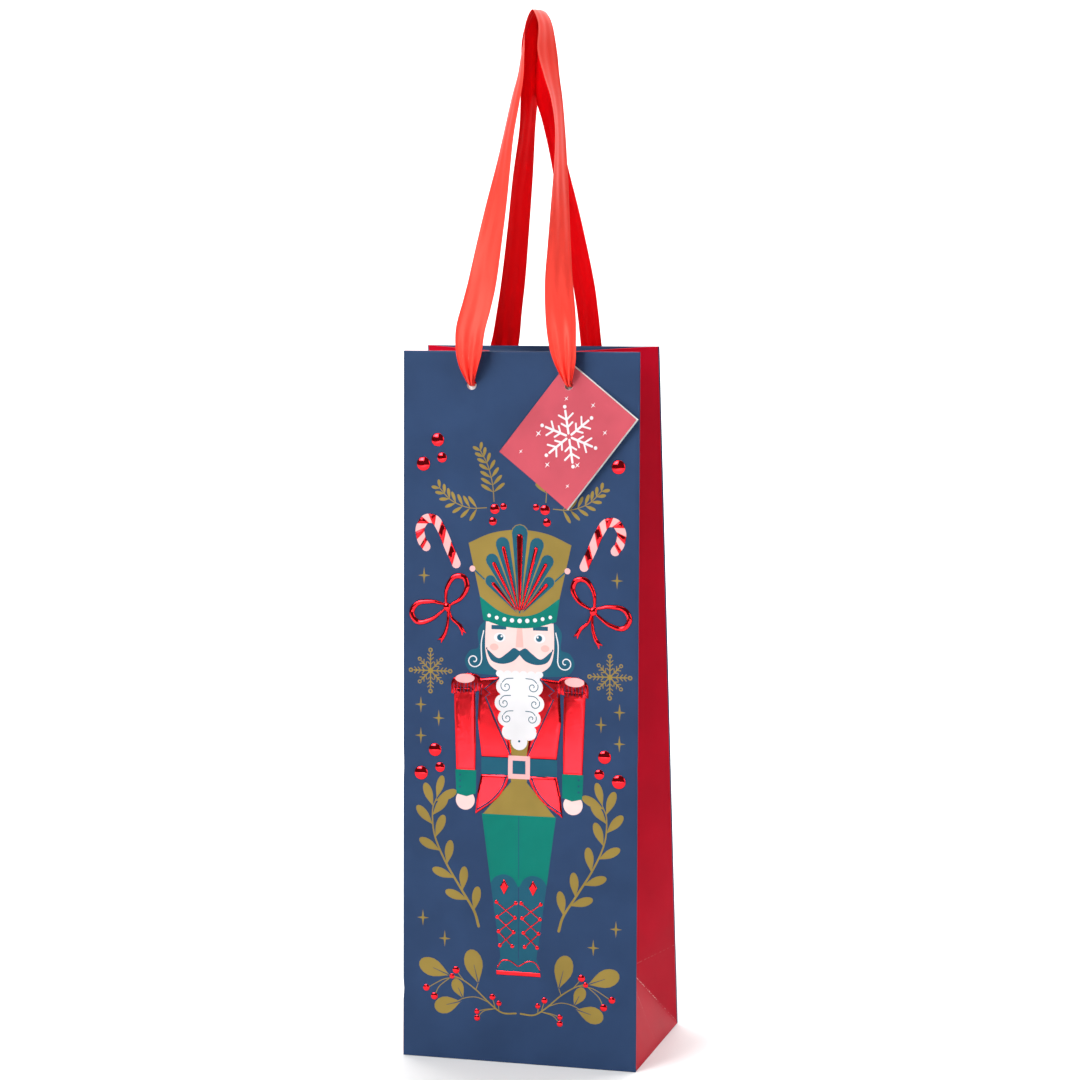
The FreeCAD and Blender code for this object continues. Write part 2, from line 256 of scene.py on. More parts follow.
def foil_finish(name, colour):
    """Hot-stamped metallic foil over embossed paper, with a slight orange peel."""
    finish = Finish(name)
    place = finish.object_coordinates()
    peel = finish.noise(place, 620.0, 3.0, 0.55)
    drift = finish.noise(place, 90.0, 2.0)
    rough = finish.remap(peel, 0.3, 0.7, 0.05, 0.09)
    red = finish.mix(finish.remap(drift, 0.35, 0.65), tone(colour, 0.9), tone(colour, 1.06))
    finish.set(Base_Color=red, Metallic=1.0, Roughness=rough,
               Normal=finish.bump(peel + drift * 2.0, 0.014 * MM, 0.5))
    return finish.material


def raw_paper_finish(name, colour, speck=0.85):
    """Uncoated stock: cut edges, the bag's inside and plain board."""
    finish = Finish(name)
    place = finish.object_coordinates()
    pulp = finish.noise(place, 900.0, 4.0, 0.65)
    cloud = finish.noise(place, 60.0, 2.0)
    shade = finish.remap(pulp + cloud * 0.6, 0.6, 1.0)
    finish.set(Base_Color=finish.mix(shade, tone(colour, speck), colour),
               Roughness=finish.remap(pulp, 0.3, 0.7, 0.82, 0.95),
               Specular_IOR_Level=0.2, Normal=finish.bump(pulp, 0.03 * MM, 0.7))
    return finish.material


def satin_finish(name, colour, shine):
    """Satin ribbon: long floats give a streaky sheen on the face; the back, with low shine, is dull."""
    finish = Finish(name)
    flat = finish.flat_coordinates()
    across, _, _ = finish.axes(flat)
    streak = finish.noise(flat, 1.0, 3.0, 0.6, stretch=(5200.0, 90.0, 1.0))
    weave = finish.node("ShaderNodeTexWave", {"wave_type": "BANDS", "bands_direction": "Y"},
                        {"Vector": flat, "Scale": 900.0, "Distortion": 1.2, "Detail": 1.0}, output=1)
    patch = finish.noise(flat, 70.0, 2.0)
    crease = finish.noise(flat, 1.0, 2.0, 0.5, stretch=(150.0, 42.0, 1.0))
    edge = settings().ribbon_width / 2
    selvedge = finish.remap(abs(across), edge - 0.9 * MM, edge - 0.55 * MM)
    shade = finish.remap(streak + patch * 0.5, 0.5, 1.0)
    body = finish.mix(shade, tone(colour, 0.9), tone(colour, 1.08))
    rough = 0.6 - 0.22 * shine
    relief = streak * 0.3 + weave * 0.25 + selvedge * 0.6 + crease * 7.0
    finish.set(Base_Color=finish.mix(selvedge * 0.35, body, tone(colour, 0.72)),
               Roughness=finish.remap(streak, 0.3, 0.7, rough, rough + 0.1),
               Normal=finish.bump(relief, 0.05 * MM, 0.7),
               Anisotropic=0.3 * shine, Specular_IOR_Level=0.04 + 0.3 * shine)
    finish.shader.inputs["Specular Tint"].default_value = (1.0, 0.72, 0.55, 1.0)
    return finish.material


def floor_finish(name):
    finish = Finish(name)
    grain = finish.noise(finish.object_coordinates(), 3.0, 2.0)
    finish.set(Base_Color=finish.mix(grain, (0.83, 0.83, 0.835), (0.86, 0.86, 0.86)), Roughness=0.75)
    return finish.material


INKS = {
    "gold": (0.262, 0.184, 0.042),
    "green": (0.001, 0.160, 0.125),
    "teal": (0.012, 0.086, 0.139),
    "pink": (0.79, 0.55, 0.53),
    "blush": (0.79, 0.41, 0.38),
    "candy": (0.78, 0.41, 0.41),
    "white": (0.68, 0.67, 0.69),
}


def make_finishes(colours):
    made = {"navy": laminated_finish("navy_laminate", colours["navy"], 0.4)}
    for ink, colour in INKS.items():
        made[ink] = laminated_finish(f"{ink}_ink", colour, 0.46 if ink == "gold" else 0.42)
    made["foil"] = foil_finish("red_foil", colours["foil"])
    made["gusset"] = gusset_finish("gusset_red_laminate", colours["gusset"])
    made["gusset_plain"] = laminated_finish("plain_red_laminate", colours["gusset"])
    made["raw"] = raw_paper_finish("uncoated_paper", (0.82, 0.81, 0.79), 0.93)
    made["board"] = raw_paper_finish("grey_board", (0.47, 0.44, 0.40), 0.75)
    # painted light and shade: the satin face's colour is a paler coral, for the lit ribbon, and the back's
    # colour a darker red, for the ribbon in shade; both sides carry one dye
    made["satin"] = satin_finish("satin_face", colours["ribbon"], 1.0)
    made["satin_back"] = satin_finish("satin_back", colours["ribbon_back"], 0.0)
    made["card"] = laminated_finish("coral_card", colours["tag"], 0.55, 0.12)
    made["floor"] = floor_finish("pale_floor")
    return made


FINISHES = {}


# ---- Outlines, in millimetres on a flat sheet ---------------------------------------------------

def disc(x, y, radius, radius_y=None, turn=0.0, count=28):
    """A circle or an ellipse."""
    radius_y = radius if radius_y is None else radius_y
    cosine, sine = math.cos(turn), math.sin(turn)
    points = []
    for index in range(count):
        angle = 2 * math.pi * index / count
        along, across = radius * math.cos(angle), radius_y * math.sin(angle)
        points.append((x + along * cosine - across * sine, y + along * sine + across * cosine))
    return points


def curve(points, steps):
    """A smooth curve through a few points, by cubic pieces."""
    places = [Vector(point) for point in points]
    count = len(places)
    made = []
    for index in range(count - 1):
        start, end = places[index], places[index + 1]
        before = places[index - 1] if index else start * 2 - end
        after = places[index + 2] if index + 2 < count else end * 2 - start
        square = 2 * before - 5 * start + 4 * end - after
        cube = 3 * start - before - 3 * end + after
        for step in range(steps):
            t = step / steps
            point = 0.5 * (2 * start + (end - before) * t + square * t ** 2 + cube * t ** 3)
            made.append(tuple(point))
    made.append(tuple(places[-1]))
    return made


def sides(line, width):
    """The two edges of a band that follows a line; width is a number or a function of 0 to 1."""
    places = np.array(line, float)
    tangent = np.gradient(places, axis=0)
    tangent /= np.linalg.norm(tangent, axis=1)[:, None]
    normal = np.stack([-tangent[:, 1], tangent[:, 0]], axis=1)
    share = np.linspace(0, 1, len(places))
    half = np.array([(width(t) if callable(width) else width) / 2 for t in share])[:, None]
    return places + normal * half, places - normal * half, tangent


def stroke(line, width, round_ends=True):
    """The closed outline of a band along a line."""
    left, right, tangent = sides(line, width)
    start, end = [], []
    if round_ends:
        for edge, cap, sign in ((0, start, -1), (-1, end, 1)):
            centre = (left[edge] + right[edge]) / 2
            half = np.linalg.norm(left[edge] - right[edge]) / 2
            base = math.atan2(*(sign * tangent[edge])[::-1])
            for step in (-2, -1, 0, 1, 2):
                angle = base + step * math.pi / 6
                cap.append((centre[0] + half * math.cos(angle), centre[1] + half * math.sin(angle)))
    return [tuple(p) for p in right] + end + [tuple(p) for p in left[::-1]] + start


def leaf(x, y, angle, length, width):
    """A leaf that tapers from its stalk and ends round."""
    cosine, sine = math.cos(angle), math.sin(angle)
    points = []
    widest = 0.62
    shares = (0.0, 0.12, 0.28, 0.46, widest, 0.78, 0.9, 0.97, 1.0)
    for side in (1, -1):
        for share in (shares if side == 1 else shares[-2:0:-1]):
            if share < widest:
                bulge = math.sin(math.pi / 2 * share / widest) ** 1.25
            else:
                bulge = math.sqrt(max(0.0, 1 - ((share - widest) / (1 - widest)) ** 2))
            along, across = share * length, side * bulge * width / 2
            points.append((x + along * cosine - across * sine, y + along * sine + across * cosine))
    return points


def star(x, y, tall=4.2, wide=3.1, waist=0.75):
    """A four-pointed star with hollow sides."""
    points = []
    for index in range(8):
        angle = index * math.pi / 4
        if index % 2:
            points.append((x + waist * math.cos(angle), y + waist * math.sin(angle)))
        else:
            points.append((x + wide * math.cos(angle), y + tall * math.sin(angle)))
    return points


def spiral(x, y, radius, turns, start, direction=1, steps=26):
    """A line that winds in towards its centre."""
    line = []
    for step in range(steps + 1):
        share = step / steps
        angle = start + direction * share * turns * 2 * math.pi
        reach = radius * (1 - 0.82 * share)
        line.append((x + reach * math.cos(angle), y + reach * math.sin(angle)))
    return line


def mirror(points):
    return [(-x, y) for x, y in reversed(points)]


class Print:
    """Everything printed, foiled or cut on one face of a flat sheet, in the order it is laid down."""

    def __init__(self):
        self.regions = []

    def lay(self, ink, outline, emboss=None):
        """emboss is (height, width of the shoulder) in millimetres."""
        self.regions.append((ink, outline, emboss))

    def pair(self, ink, outline, emboss=None):
        self.lay(ink, outline, emboss)
        self.lay(ink, mirror(outline), emboss)


# ---- Artwork: a plain toy soldier among winter sprigs -------------------------------------------

# emboss heights and shoulder widths that are used more than once
PLUMP = (0.8, 1.3)
ROUNDED = (0.9, 1.2)
FINE = (0.2, 0.25)


def fern(art, stem, pairs, size):
    """A sprig with slim leaves in pairs along a curved stem."""
    line = curve(stem, 8)
    art.pair("gold", stroke(line, 0.45))
    for index in range(pairs):
        share = 0.18 + 0.8 * index / (pairs - 1)
        place = share * (len(line) - 1)
        low = int(min(place, len(line) - 2))
        x = line[low][0] + (line[low + 1][0] - line[low][0]) * (place - low)
        y = line[low][1] + (line[low + 1][1] - line[low][1]) * (place - low)
        heading = math.atan2(line[low + 1][1] - line[low][1], line[low + 1][0] - line[low][0])
        length = size * (1.0 - 0.45 * share)
        for side in (1, -1):
            spread = side * (1.05 - 0.45 * share)
            art.pair("gold", leaf(x, y, heading + spread, length, 1.7))


def laurel(art):
    """A tall branch with slim leaves on alternate sides and one at its tip."""
    line = curve([(-20.6, 67.4), (-23, 75), (-30, 86), (-38, 99), (-43.6, 112), (-44.6, 124),
                  (-42.6, 130)], 8)
    art.pair("gold", stroke(line, lambda t: 1.4 - 0.9 * t))
    count = 11
    for index in range(count):
        share = 0.17 + 0.8 * index / (count - 1)
        low = int(share * (len(line) - 1))
        x, y = line[low]
        heading = math.atan2(line[low + 1][1] - y, line[low + 1][0] - x)
        side = 1 if index % 2 else -1
        art.pair("gold", leaf(x, y, heading + side * 0.66, 12.4, 4.5))
    art.pair("gold", leaf(*line[-1], 1.3, 12.0, 4.0))


def berry_sprig(art):
    """The low sprigs that meet under the soldier's feet."""
    main = curve([(-1.2, 25), (-8, 24.8), (-14, 28.5), (-22, 35.5), (-30, 40.5), (-38, 42.5)], 6)
    art.pair("gold", stroke(main, lambda t: 0.85 - 0.35 * t))
    for twig in ([(-15, 29.5), (-22, 31.8), (-29, 30.5), (-34, 27)],
                 [(-22, 35.5), (-20.5, 40), (-20.8, 43)],
                 [(-28, 39.4), (-31, 43), (-32, 45)],
                 [(-30.5, 40.7), (-38, 40), (-47, 35)],
                 [(-36, 40.2), (-41, 36), (-43.3, 31.5)],
                 [(-12, 27.5), (-12.8, 30), (-13.4, 32)],
                 [(-10, 26.2), (-10.2, 28), (-10, 29.4)],
                 [(-12, 26.6), (-17, 26), (-21.4, 24.6)],
                 [(-13, 26.4), (-18, 25), (-21.3, 21.4)]):
        art.pair("gold", stroke(curve(twig, 5), 0.4))
    for x, y, angle, length, width in ((-20.6, 38.5, 1.82, 17.5, 9.5), (-35.5, 41.8, 2.78, 17, 9),
                                       (-28.5, 30.7, 2.05, 10.5, 6), (-29.5, 29.2, 3.42, 14.5, 8.5)):
        art.pair("gold", leaf(x, y, angle, length, width))
        reaches = (0.6, length * 0.3, length * 0.55)
        vein = [(x + math.cos(angle) * reach, y + math.sin(angle) * reach) for reach in reaches]
        art.pair("navy", stroke(vein, lambda t: 0.55 - 0.35 * t))


def snowflake(art, x, y, reach):
    """Eight arms with side hairs and a ring at each end; the same on both sides."""
    for index in range(8):
        angle = index * math.pi / 4
        long_arm = index % 2 == 0
        length = reach if long_arm else reach * 0.78
        cosine, sine = math.cos(angle), math.sin(angle)

        def at(along, across):
            return (x + along * cosine - across * sine, y + along * sine + across * cosine)
        art.pair("gold", stroke([at(0.3, 0), at(length - 1.5, 0)], 0.6))
        art.pair("gold", disc(*at(length, 0), 1.15 if long_arm else 1.0, count=14))
        art.pair("navy", disc(*at(length, 0), 0.5, count=10))
        for share in (0.3, 0.5, 0.68) if long_arm else (0.4, 0.62):
            for side in (1, -1):
                root = share * length
                art.pair("gold", stroke([at(root, 0), at(root + 1.3, side * 1.5)], 0.45))
    art.pair("gold", disc(x, y, 1.3, count=14))


def candy_cane(art):
    """A crook of striped candy: pink under, foil stripes embossed."""
    width = 4.6
    line = curve([(-48.2, 254.6), (-50.6, 258.3), (-51.3, 263.5), (-48.6, 268), (-44, 268.2), (-40.6, 264),
                  (-36.4, 254.8), (-32.6, 246.6)], 10)
    art.pair("candy", stroke(line, width))
    left, right, _ = sides(line, width)
    count = len(line)
    stripes = 6
    pitch = count / stripes
    slant = pitch * 0.5
    for index in range(stripes):
        start = index * pitch - 1
        steps = np.linspace(0, pitch * 0.5, 5)
        edge_a = [left[int(round(min(max(start + step, 0), count - 1)))] for step in steps]
        edge_b = [right[int(round(min(max(start + slant + step, 0), count - 1)))] for step in steps]
        outline = []
        for point in [tuple(p) for p in edge_b] + [tuple(p) for p in edge_a[::-1]]:
            if not outline or (Vector(point) - Vector(outline[-1])).length > 0.05:
                outline.append(point)
        if len(outline) > 3:
            art.pair("foil", outline, PLUMP)


def foil_bow(art):
    """A tied bow: two loops and two tails of foil band round a small knot."""
    upper = curve([(-37.9, 227.2), (-37.6, 234), (-33.8, 240), (-28.6, 240), (-27.0, 235), (-30.2, 229.6),
                   (-35.2, 226.4)], 8)
    lower = curve([(-39.4, 226.6), (-45, 227.6), (-52.4, 226.6), (-55.6, 221.8), (-52.2, 217.2),
                   (-45.4, 218.8), (-39.2, 223.4)], 8)
    for loop in (upper, lower):
        art.pair("foil", stroke(loop, lambda t: 1.3 + 1.5 * math.sin(math.pi * t)), ROUNDED)
    for tail in ([(-37, 224.4), (-36.9, 218), (-38.4, 212), (-41.4, 207.6)],
                 [(-36.6, 224.4), (-34.6, 219.5), (-30.8, 216.2), (-28.2, 211.6)]):
        line = curve(tail, 6)
        band = stroke(line, lambda t: 1.0 + 1.5 * t, round_ends=False)
        middle = len(line)
        end = Vector(line[-1])
        notch = end + (Vector(line[-3]) - end) * 0.9
        art.pair("foil", band[:middle] + [tuple(notch)] + band[middle:], ROUNDED)
    art.pair("foil", disc(-37.3, 225.2, 2.0, 2.2), (1.1, 1.6))


def hat(art):
    """A tall cap: gold crown, green band with pearls and a fan of foil feathers."""
    crown = curve([(-26.2, 257), (-14, 262.2), (0, 264), (14, 262.2), (26.2, 257)], 6)
    crown += curve([(24.2, 248), (20.2, 230.5)], 4) + curve([(10, 222.5), (0, 220.5), (-10, 222.5)], 4)
    crown += curve([(-20.2, 230.5), (-24.2, 248)], 4)
    art.lay("gold", crown)
    for side in (1, -1):
        cord_line = curve([(side * 23.6, 244.2), (side * 15, 237), (side * 4, 231)], 6)
        art.lay("teal", stroke(cord_line, 0.8))
    feathers = ((0.0, 40.0, 8.0), (0.25, 35.5, 7.0), (0.49, 30.0, 6.4), (0.74, 22.0, 5.6))
    root = Vector((0.0, 222.4))

    def feather(ink, angle, start, length, width, emboss=None):
        for side in ((1, -1) if angle else (1,)):
            ray = Vector((side * math.sin(angle), math.cos(angle)))
            line = [tuple(root + ray * (start + (length - start) * share / 4)) for share in range(5)]
            art.lay(ink, stroke(line, width), emboss)
    for angle, length, width in feathers[::-1]:
        feather("gold", angle, 1.0, length, lambda t, width=width: 1.6 + (width - 0.8) * t)
        feather("teal", angle, 1.0, length, lambda t, width=width: 0.8 + (width - 0.8) * t)
    band = curve([(-20.4, 231), (-10, 223.8), (0, 221.6), (10, 223.8), (20.4, 231)], 6)
    band += curve([(18.6, 219.4), (9, 216.6), (0, 215.8), (-9, 216.6), (-18.6, 219.4)], 6)
    art.lay("green", band)
    for angle, length, width in feathers:
        thick = 3.2 if angle == 0 else 1.9
        feather("foil", angle, 2.0 + angle * 2, length - 2.0,
                lambda t, thick=thick: 0.6 + (thick - 0.6) * t ** 0.8, (0.8, 0.9))
    for index in range(-4, 5):
        x = index * 3.9
        art.lay("white", disc(x, 219.4 + 0.035 * x * x / 3.9, 1.15 - 0.06 * abs(index), count=14))
    art.pair("candy", disc(24.2, 244.4, 1.5, count=14))


def head(art):
    """A round wooden face with a curled moustache, under teal hair."""
    hair = curve([(-17.5, 219.5), (-21.4, 214), (-21, 206), (-25.5, 204), (-28, 199), (-25.4, 194),
                  (-19, 192.6), (0, 192)], 5)
    art.lay("teal", hair + mirror(hair)[1:-1])
    face = [(-17.2, 218.6)] + curve([(-17.6, 211), (-17.4, 204), (-15.4, 197.6), (-10, 193.6)], 5)
    face += [(0, 192.6)] + mirror(face)
    art.lay("pink", face)
    for side in (1, -1):
        line = curve([(side * 18.4, 214), (side * 19.6, 208), (side * 19.4, 200)], 6)
        line += spiral(side * 23.4, 199.4, 3.9, 1.25, math.pi if side == 1 else 0.0, side)[1:]
        art.lay("white", stroke(line, 0.55))
    art.pair("teal", [(-14.4, 214.9), (-6.8, 214.9), (-6.8, 217), (-14.4, 217)])
    art.pair("white", disc(-10.2, 211, 2.9, 2.3))
    art.pair("teal", disc(-9.9, 211, 1.6))
    art.pair("white", disc(-9.2, 211.6, 0.55, count=10))
    art.lay("blush", [(-1.2, 217.2), (-2, 206.4), (2, 206.4), (1.2, 217.2)])
    art.pair("blush", disc(-13, 206.2, 2.2, 1.7))
    moustache = curve([(0, 204.6), (-3, 206), (-6.4, 203.4), (-11, 200.8), (-16.6, 205), (-14.4, 199.6),
                       (-9, 198), (-3.4, 199.4), (0, 202.6)], 6)
    art.pair("teal", moustache)
    art.pair("teal", spiral(-16.6, 205.6, 0.9, 0.6, -1.5, -1, 8))


def beard(art):
    """A white beard of rounded locks, each with a fine curl."""
    locks = ((7.4, 187.0, 4.6), (8.4, 178.8, 4.3), (6.9, 171.4, 4.1), (5.0, 164.6, 3.9))
    art.lay("white", [(-10.5, 193), (10.5, 193), (9, 176), (5.4, 162), (-5.4, 162), (-9, 176)])
    for x, y, radius in locks:
        art.pair("white", disc(x, y, radius, count=20))
    art.lay("white", disc(0, 160.0, 4.2, count=20))
    for x in range(-10, 11, 4):
        art.lay("white", disc(x, 193.2, 2.1, 1.7, count=14))
    for x, y, radius in locks[:3]:
        coil = spiral(x - 0.6, y, radius * 0.62, 1.15, 0.5, -1)
        art.pair("teal", stroke(coil, 0.42))
        tail = curve([coil[0], (x - radius * 0.1, y + radius * 0.8), (x - radius * 0.9, y + radius * 0.9)], 4)
        art.pair("teal", stroke(tail[1:], 0.42))
    art.lay("teal", disc(0, 160.2, 0.6, count=10))


def coat(art):
    """A foil tailcoat over a gold waistcoat, with belt, cuffs and fringed shoulders."""
    waistcoat = [(-10, 192.4), (10, 192.4), (5.4, 151), (4, 140), (18.4, 123.6), (-18.4, 123.6), (-4, 140),
                 (-5.4, 151)]
    art.lay("gold", waistcoat)
    breast = [(-9.6, 191.8), (-20.4, 190.6), (-21.4, 170), (-19.2, 151.8), (-3.6, 151.8)]
    art.pair("foil", breast, PLUMP)
    lapel = [(-10.6, 191), (-17.8, 185.4), (-15, 183.2), (-17.4, 181.4), (-4.4, 153)]
    art.pair("navy", stroke(lapel, 0.75))
    skirt = [(-19.4, 143.4), (-4.6, 143.4)] + curve([(-6.4, 138), (-11.6, 131), (-22.4, 123.2)], 5)
    art.pair("foil", skirt + [(-21.4, 134)], PLUMP)
    art.pair("navy", stroke(curve([(-6.4, 142.6), (-9, 136.6), (-14, 130.6), (-21.4, 125.6)], 5), 0.8))
    art.lay("teal", [(-19.4, 143.2), (19.4, 143.2), (19.4, 151.6), (-19.4, 151.6)])
    art.lay("candy", [(-5.6, 141.6), (5.6, 141.6), (5.6, 153), (-5.6, 153)])
    art.lay("teal", [(-3.3, 144), (3.3, 144), (3.3, 150.6), (-3.3, 150.6)])
    sleeve = [(-33.8, 186), (-32.4, 144.6), (-22.4, 144.6), (-22.2, 158), (-22.6, 186)]
    art.pair("foil", sleeve, PLUMP)
    art.pair("pink", disc(-27.6, 130, 4.9))
    art.pair("green", [(-32.8, 145), (-22, 145), (-22.2, 133.4), (-27, 131.8), (-32.2, 133)])
    for y in (142.4, 139.4, 136.4):
        art.pair("teal", disc(-30.4, y, 0.6, count=10))
    pad_outline = curve([(-35.2, 182.6), (-34.6, 189.4), (-29, 192.6), (-21.6, 192.2), (-18, 188)], 5)
    art.pair("foil", pad_outline + [(-20.4, 184.2), (-27, 182.4)], (0.7, 1.0))
    for index in range(9):
        top = (-33.6 + index * 1.75, 188.6 - 0.25 * abs(index - 4))
        art.pair("navy", stroke([top, (top[0] - 0.35 + index * 0.06, top[1] - 5.0)], 0.38))
    art.pair("candy", disc(-28, 190.2, 5.0, 2.3, 0.04))


BOOT_MIDDLE = 6.4
LACE_ROWS = ((80, 5.0), (72.6, 4.6), (65.4, 3.9), (58.4, 3.2))    # height and reach of each row


def legs(art):
    """Green breeches and laced teal boots."""
    art.lay("green", [(-19, 123.8), (19, 123.8), (14.2, 88), (-14.2, 88)])
    art.lay("teal", stroke([(0, 123), (0, 92)], 0.4))
    boot = curve([(-14.4, 89.4), (-12, 92.6), (-7.4, 94), (-3, 92.4), (-0.2, 88)], 5)
    art.pair("teal", boot + [(-0.2, 52.6), (-9.2, 52.6)])
    art.pair("teal", [(-9.2, 52.8), (-0.1, 52.8), (-0.1, 45.8), (-10.6, 45.8), (-10.6, 49.4)])
    art.pair("foil", [(-7.4, 91.6), (-9.6, 88), (-7.4, 83.8), (-5.2, 88)], (0.5, 0.8))
    for (row, reach), (next_row, next_reach) in zip(LACE_ROWS, LACE_ROWS[1:]):
        for side in (1, -1):
            start = (-BOOT_MIDDLE + side * reach, row)
            end = (-BOOT_MIDDLE - side * next_reach, next_row)
            art.pair("foil", stroke([start, end], 0.6), FINE)
    welt = curve([(-10.8, 47.6), (-8.6, 50.8), (-4.8, 51.2), (-0.3, 48.6)], 6)
    art.pair("foil", stroke(welt, 0.6), FINE)
    art.lay("foil", [(-11.4, 43.8), (11.4, 43.8), (11.4, 45.9), (-11.4, 45.9)], (0.35, 0.5))


def front_art():
    art = Print()
    fern(art, [(-13.2, 277.5), (-14, 286), (-16.4, 295), (-20.4, 302.6)], 7, 8.0)
    fern(art, [(-17, 274.4), (-26, 274.2), (-35, 277.6), (-41.4, 283.8)], 7, 8.0)
    for x, y in ((49.2, 240.4), (50.8, 176.4), (41.5, 170), (50.8, 161), (49.6, 70), (38.2, 60.2)):
        art.pair("gold", star(x, y))
    snowflake(art, -45.8, 193.4, 10.2)
    laurel(art)
    berry_sprig(art)
    candy_cane(art)
    foil_bow(art)
    legs(art)
    head(art)
    hat(art)
    coat(art)
    beard(art)
    return art


# x, height up the sheet and radius, for one half of the panel
BERRIES = [(42.2, 307.3, 3.3), (49.6, 295.4, 3.5), (40.0, 298.6, 2.5), (12.8, 273.9, 2.5), (8.3, 275.2, 1.6),
           (13.8, 267.8, 2.0), (43.4, 154.2, 3.3), (50.6, 142.4, 3.5), (40.8, 145.6, 2.5), (32.3, 44.7, 1.8),
           (34.4, 41.5, 1.3), (47.8, 34.9, 1.7), (43.6, 30.9, 1.8), (13.4, 32.4, 1.5), (10.0, 29.4, 1.3),
           (21.4, 24.6, 1.3), (21.3, 21.4, 1.5)]
LACE_BERRIES = [(BOOT_MIDDLE + side * reach, row, 0.95) for row, reach in LACE_ROWS for side in (1, -1)]


# ---- Meshes ---------------------------------------------------------------------------------------

def area(outline):
    total = 0.0
    for (x0, y0), (x1, y1) in zip(outline, outline[1:] + outline[:1]):
        total += x0 * y1 - x1 * y0
    return total / 2


def edge_distance(points, outline):
    """Distance from each point to an outline, and whether the point lies inside it."""
    start = np.array(outline, float)
    end = np.roll(start, -1, axis=0)
    run = end - start
    length = np.maximum((run ** 2).sum(1), 1e-12)
    offset = points[:, None, :] - start[None]
    share = np.clip((offset * run[None]).sum(2) / length, 0, 1)
    nearest = np.linalg.norm(offset - share[..., None] * run[None], axis=2).min(1)
    x, y = points[:, 0:1], points[:, 1:2]
    crosses = (start[None, :, 1] > y) != (end[None, :, 1] > y)
    slope = (end[:, 0] - start[:, 0]) / np.where(run[:, 1] == 0, 1e-12, run[:, 1])
    hits = crosses & (x < slope[None] * (y - start[None, :, 1]) + start[None, :, 0])
    return nearest, hits.sum(1) % 2 == 1


def emboss_height(points, embossed):
    """How far the paper is raised at each flat point, in millimetres."""
    height = np.zeros(len(points))
    for outline, (rise, shoulder) in embossed:
        near = np.all((points >= outline.min(0) - 0.01) & (points <= outline.max(0) + 0.01), axis=1)
        some = np.nonzero(near)[0]
        if len(some):
            distance, inside = edge_distance(points[some], outline)
            share = np.clip(distance / shoulder, 0, 1)
            raised = np.where(inside, rise * np.sqrt(1 - (1 - share) ** 2), 0)
            height[some] = np.maximum(height[some], raised)
    return height


def print_normals(flat, triangles, raised, embossed, place):
    """The normal at each triangle's corner, from the smooth surface and the emboss on it."""
    points = flat[triangles]
    inwards = points.mean(axis=1, keepdims=True) - points
    length = np.maximum(np.linalg.norm(inwards, axis=2, keepdims=True), 1e-9)
    # measured a little inside each corner, but never past half way to the triangle's middle
    inset, halfway, step = 0.09, 0.5, 0.05
    probe = (points + inwards * np.minimum(halfway, inset / length)).reshape(-1, 2)
    zero = np.zeros(len(probe))
    run = place(probe[:, 0] + step, probe[:, 1], zero) - place(probe[:, 0] - step, probe[:, 1], zero)
    climb = place(probe[:, 0], probe[:, 1] + step, zero) - place(probe[:, 0], probe[:, 1] - step, zero)
    normal = unit(np.cross(run, climb))
    some = np.repeat(raised, 3)
    small, steepest = 0.03, 3
    slopes = []
    for offset in (np.array([small, 0.0]), np.array([0.0, small])):
        higher = emboss_height(probe[some] + offset, embossed)
        lower = emboss_height(probe[some] - offset, embossed)
        slope = np.zeros(len(probe))
        slope[some] = (higher - lower) / (2 * small)
        slopes.append(np.clip(slope, -steepest, steepest)[:, None])
    return unit(normal - slopes[0] * unit(run) - slopes[1] * unit(climb))


PRINT_NORMALS = {}
COARSE, FINEST = 0.75, 0.32                           # spacing of the points under the foil, in millimetres
MARGIN = 0.12                                         # how near an outline they may lie


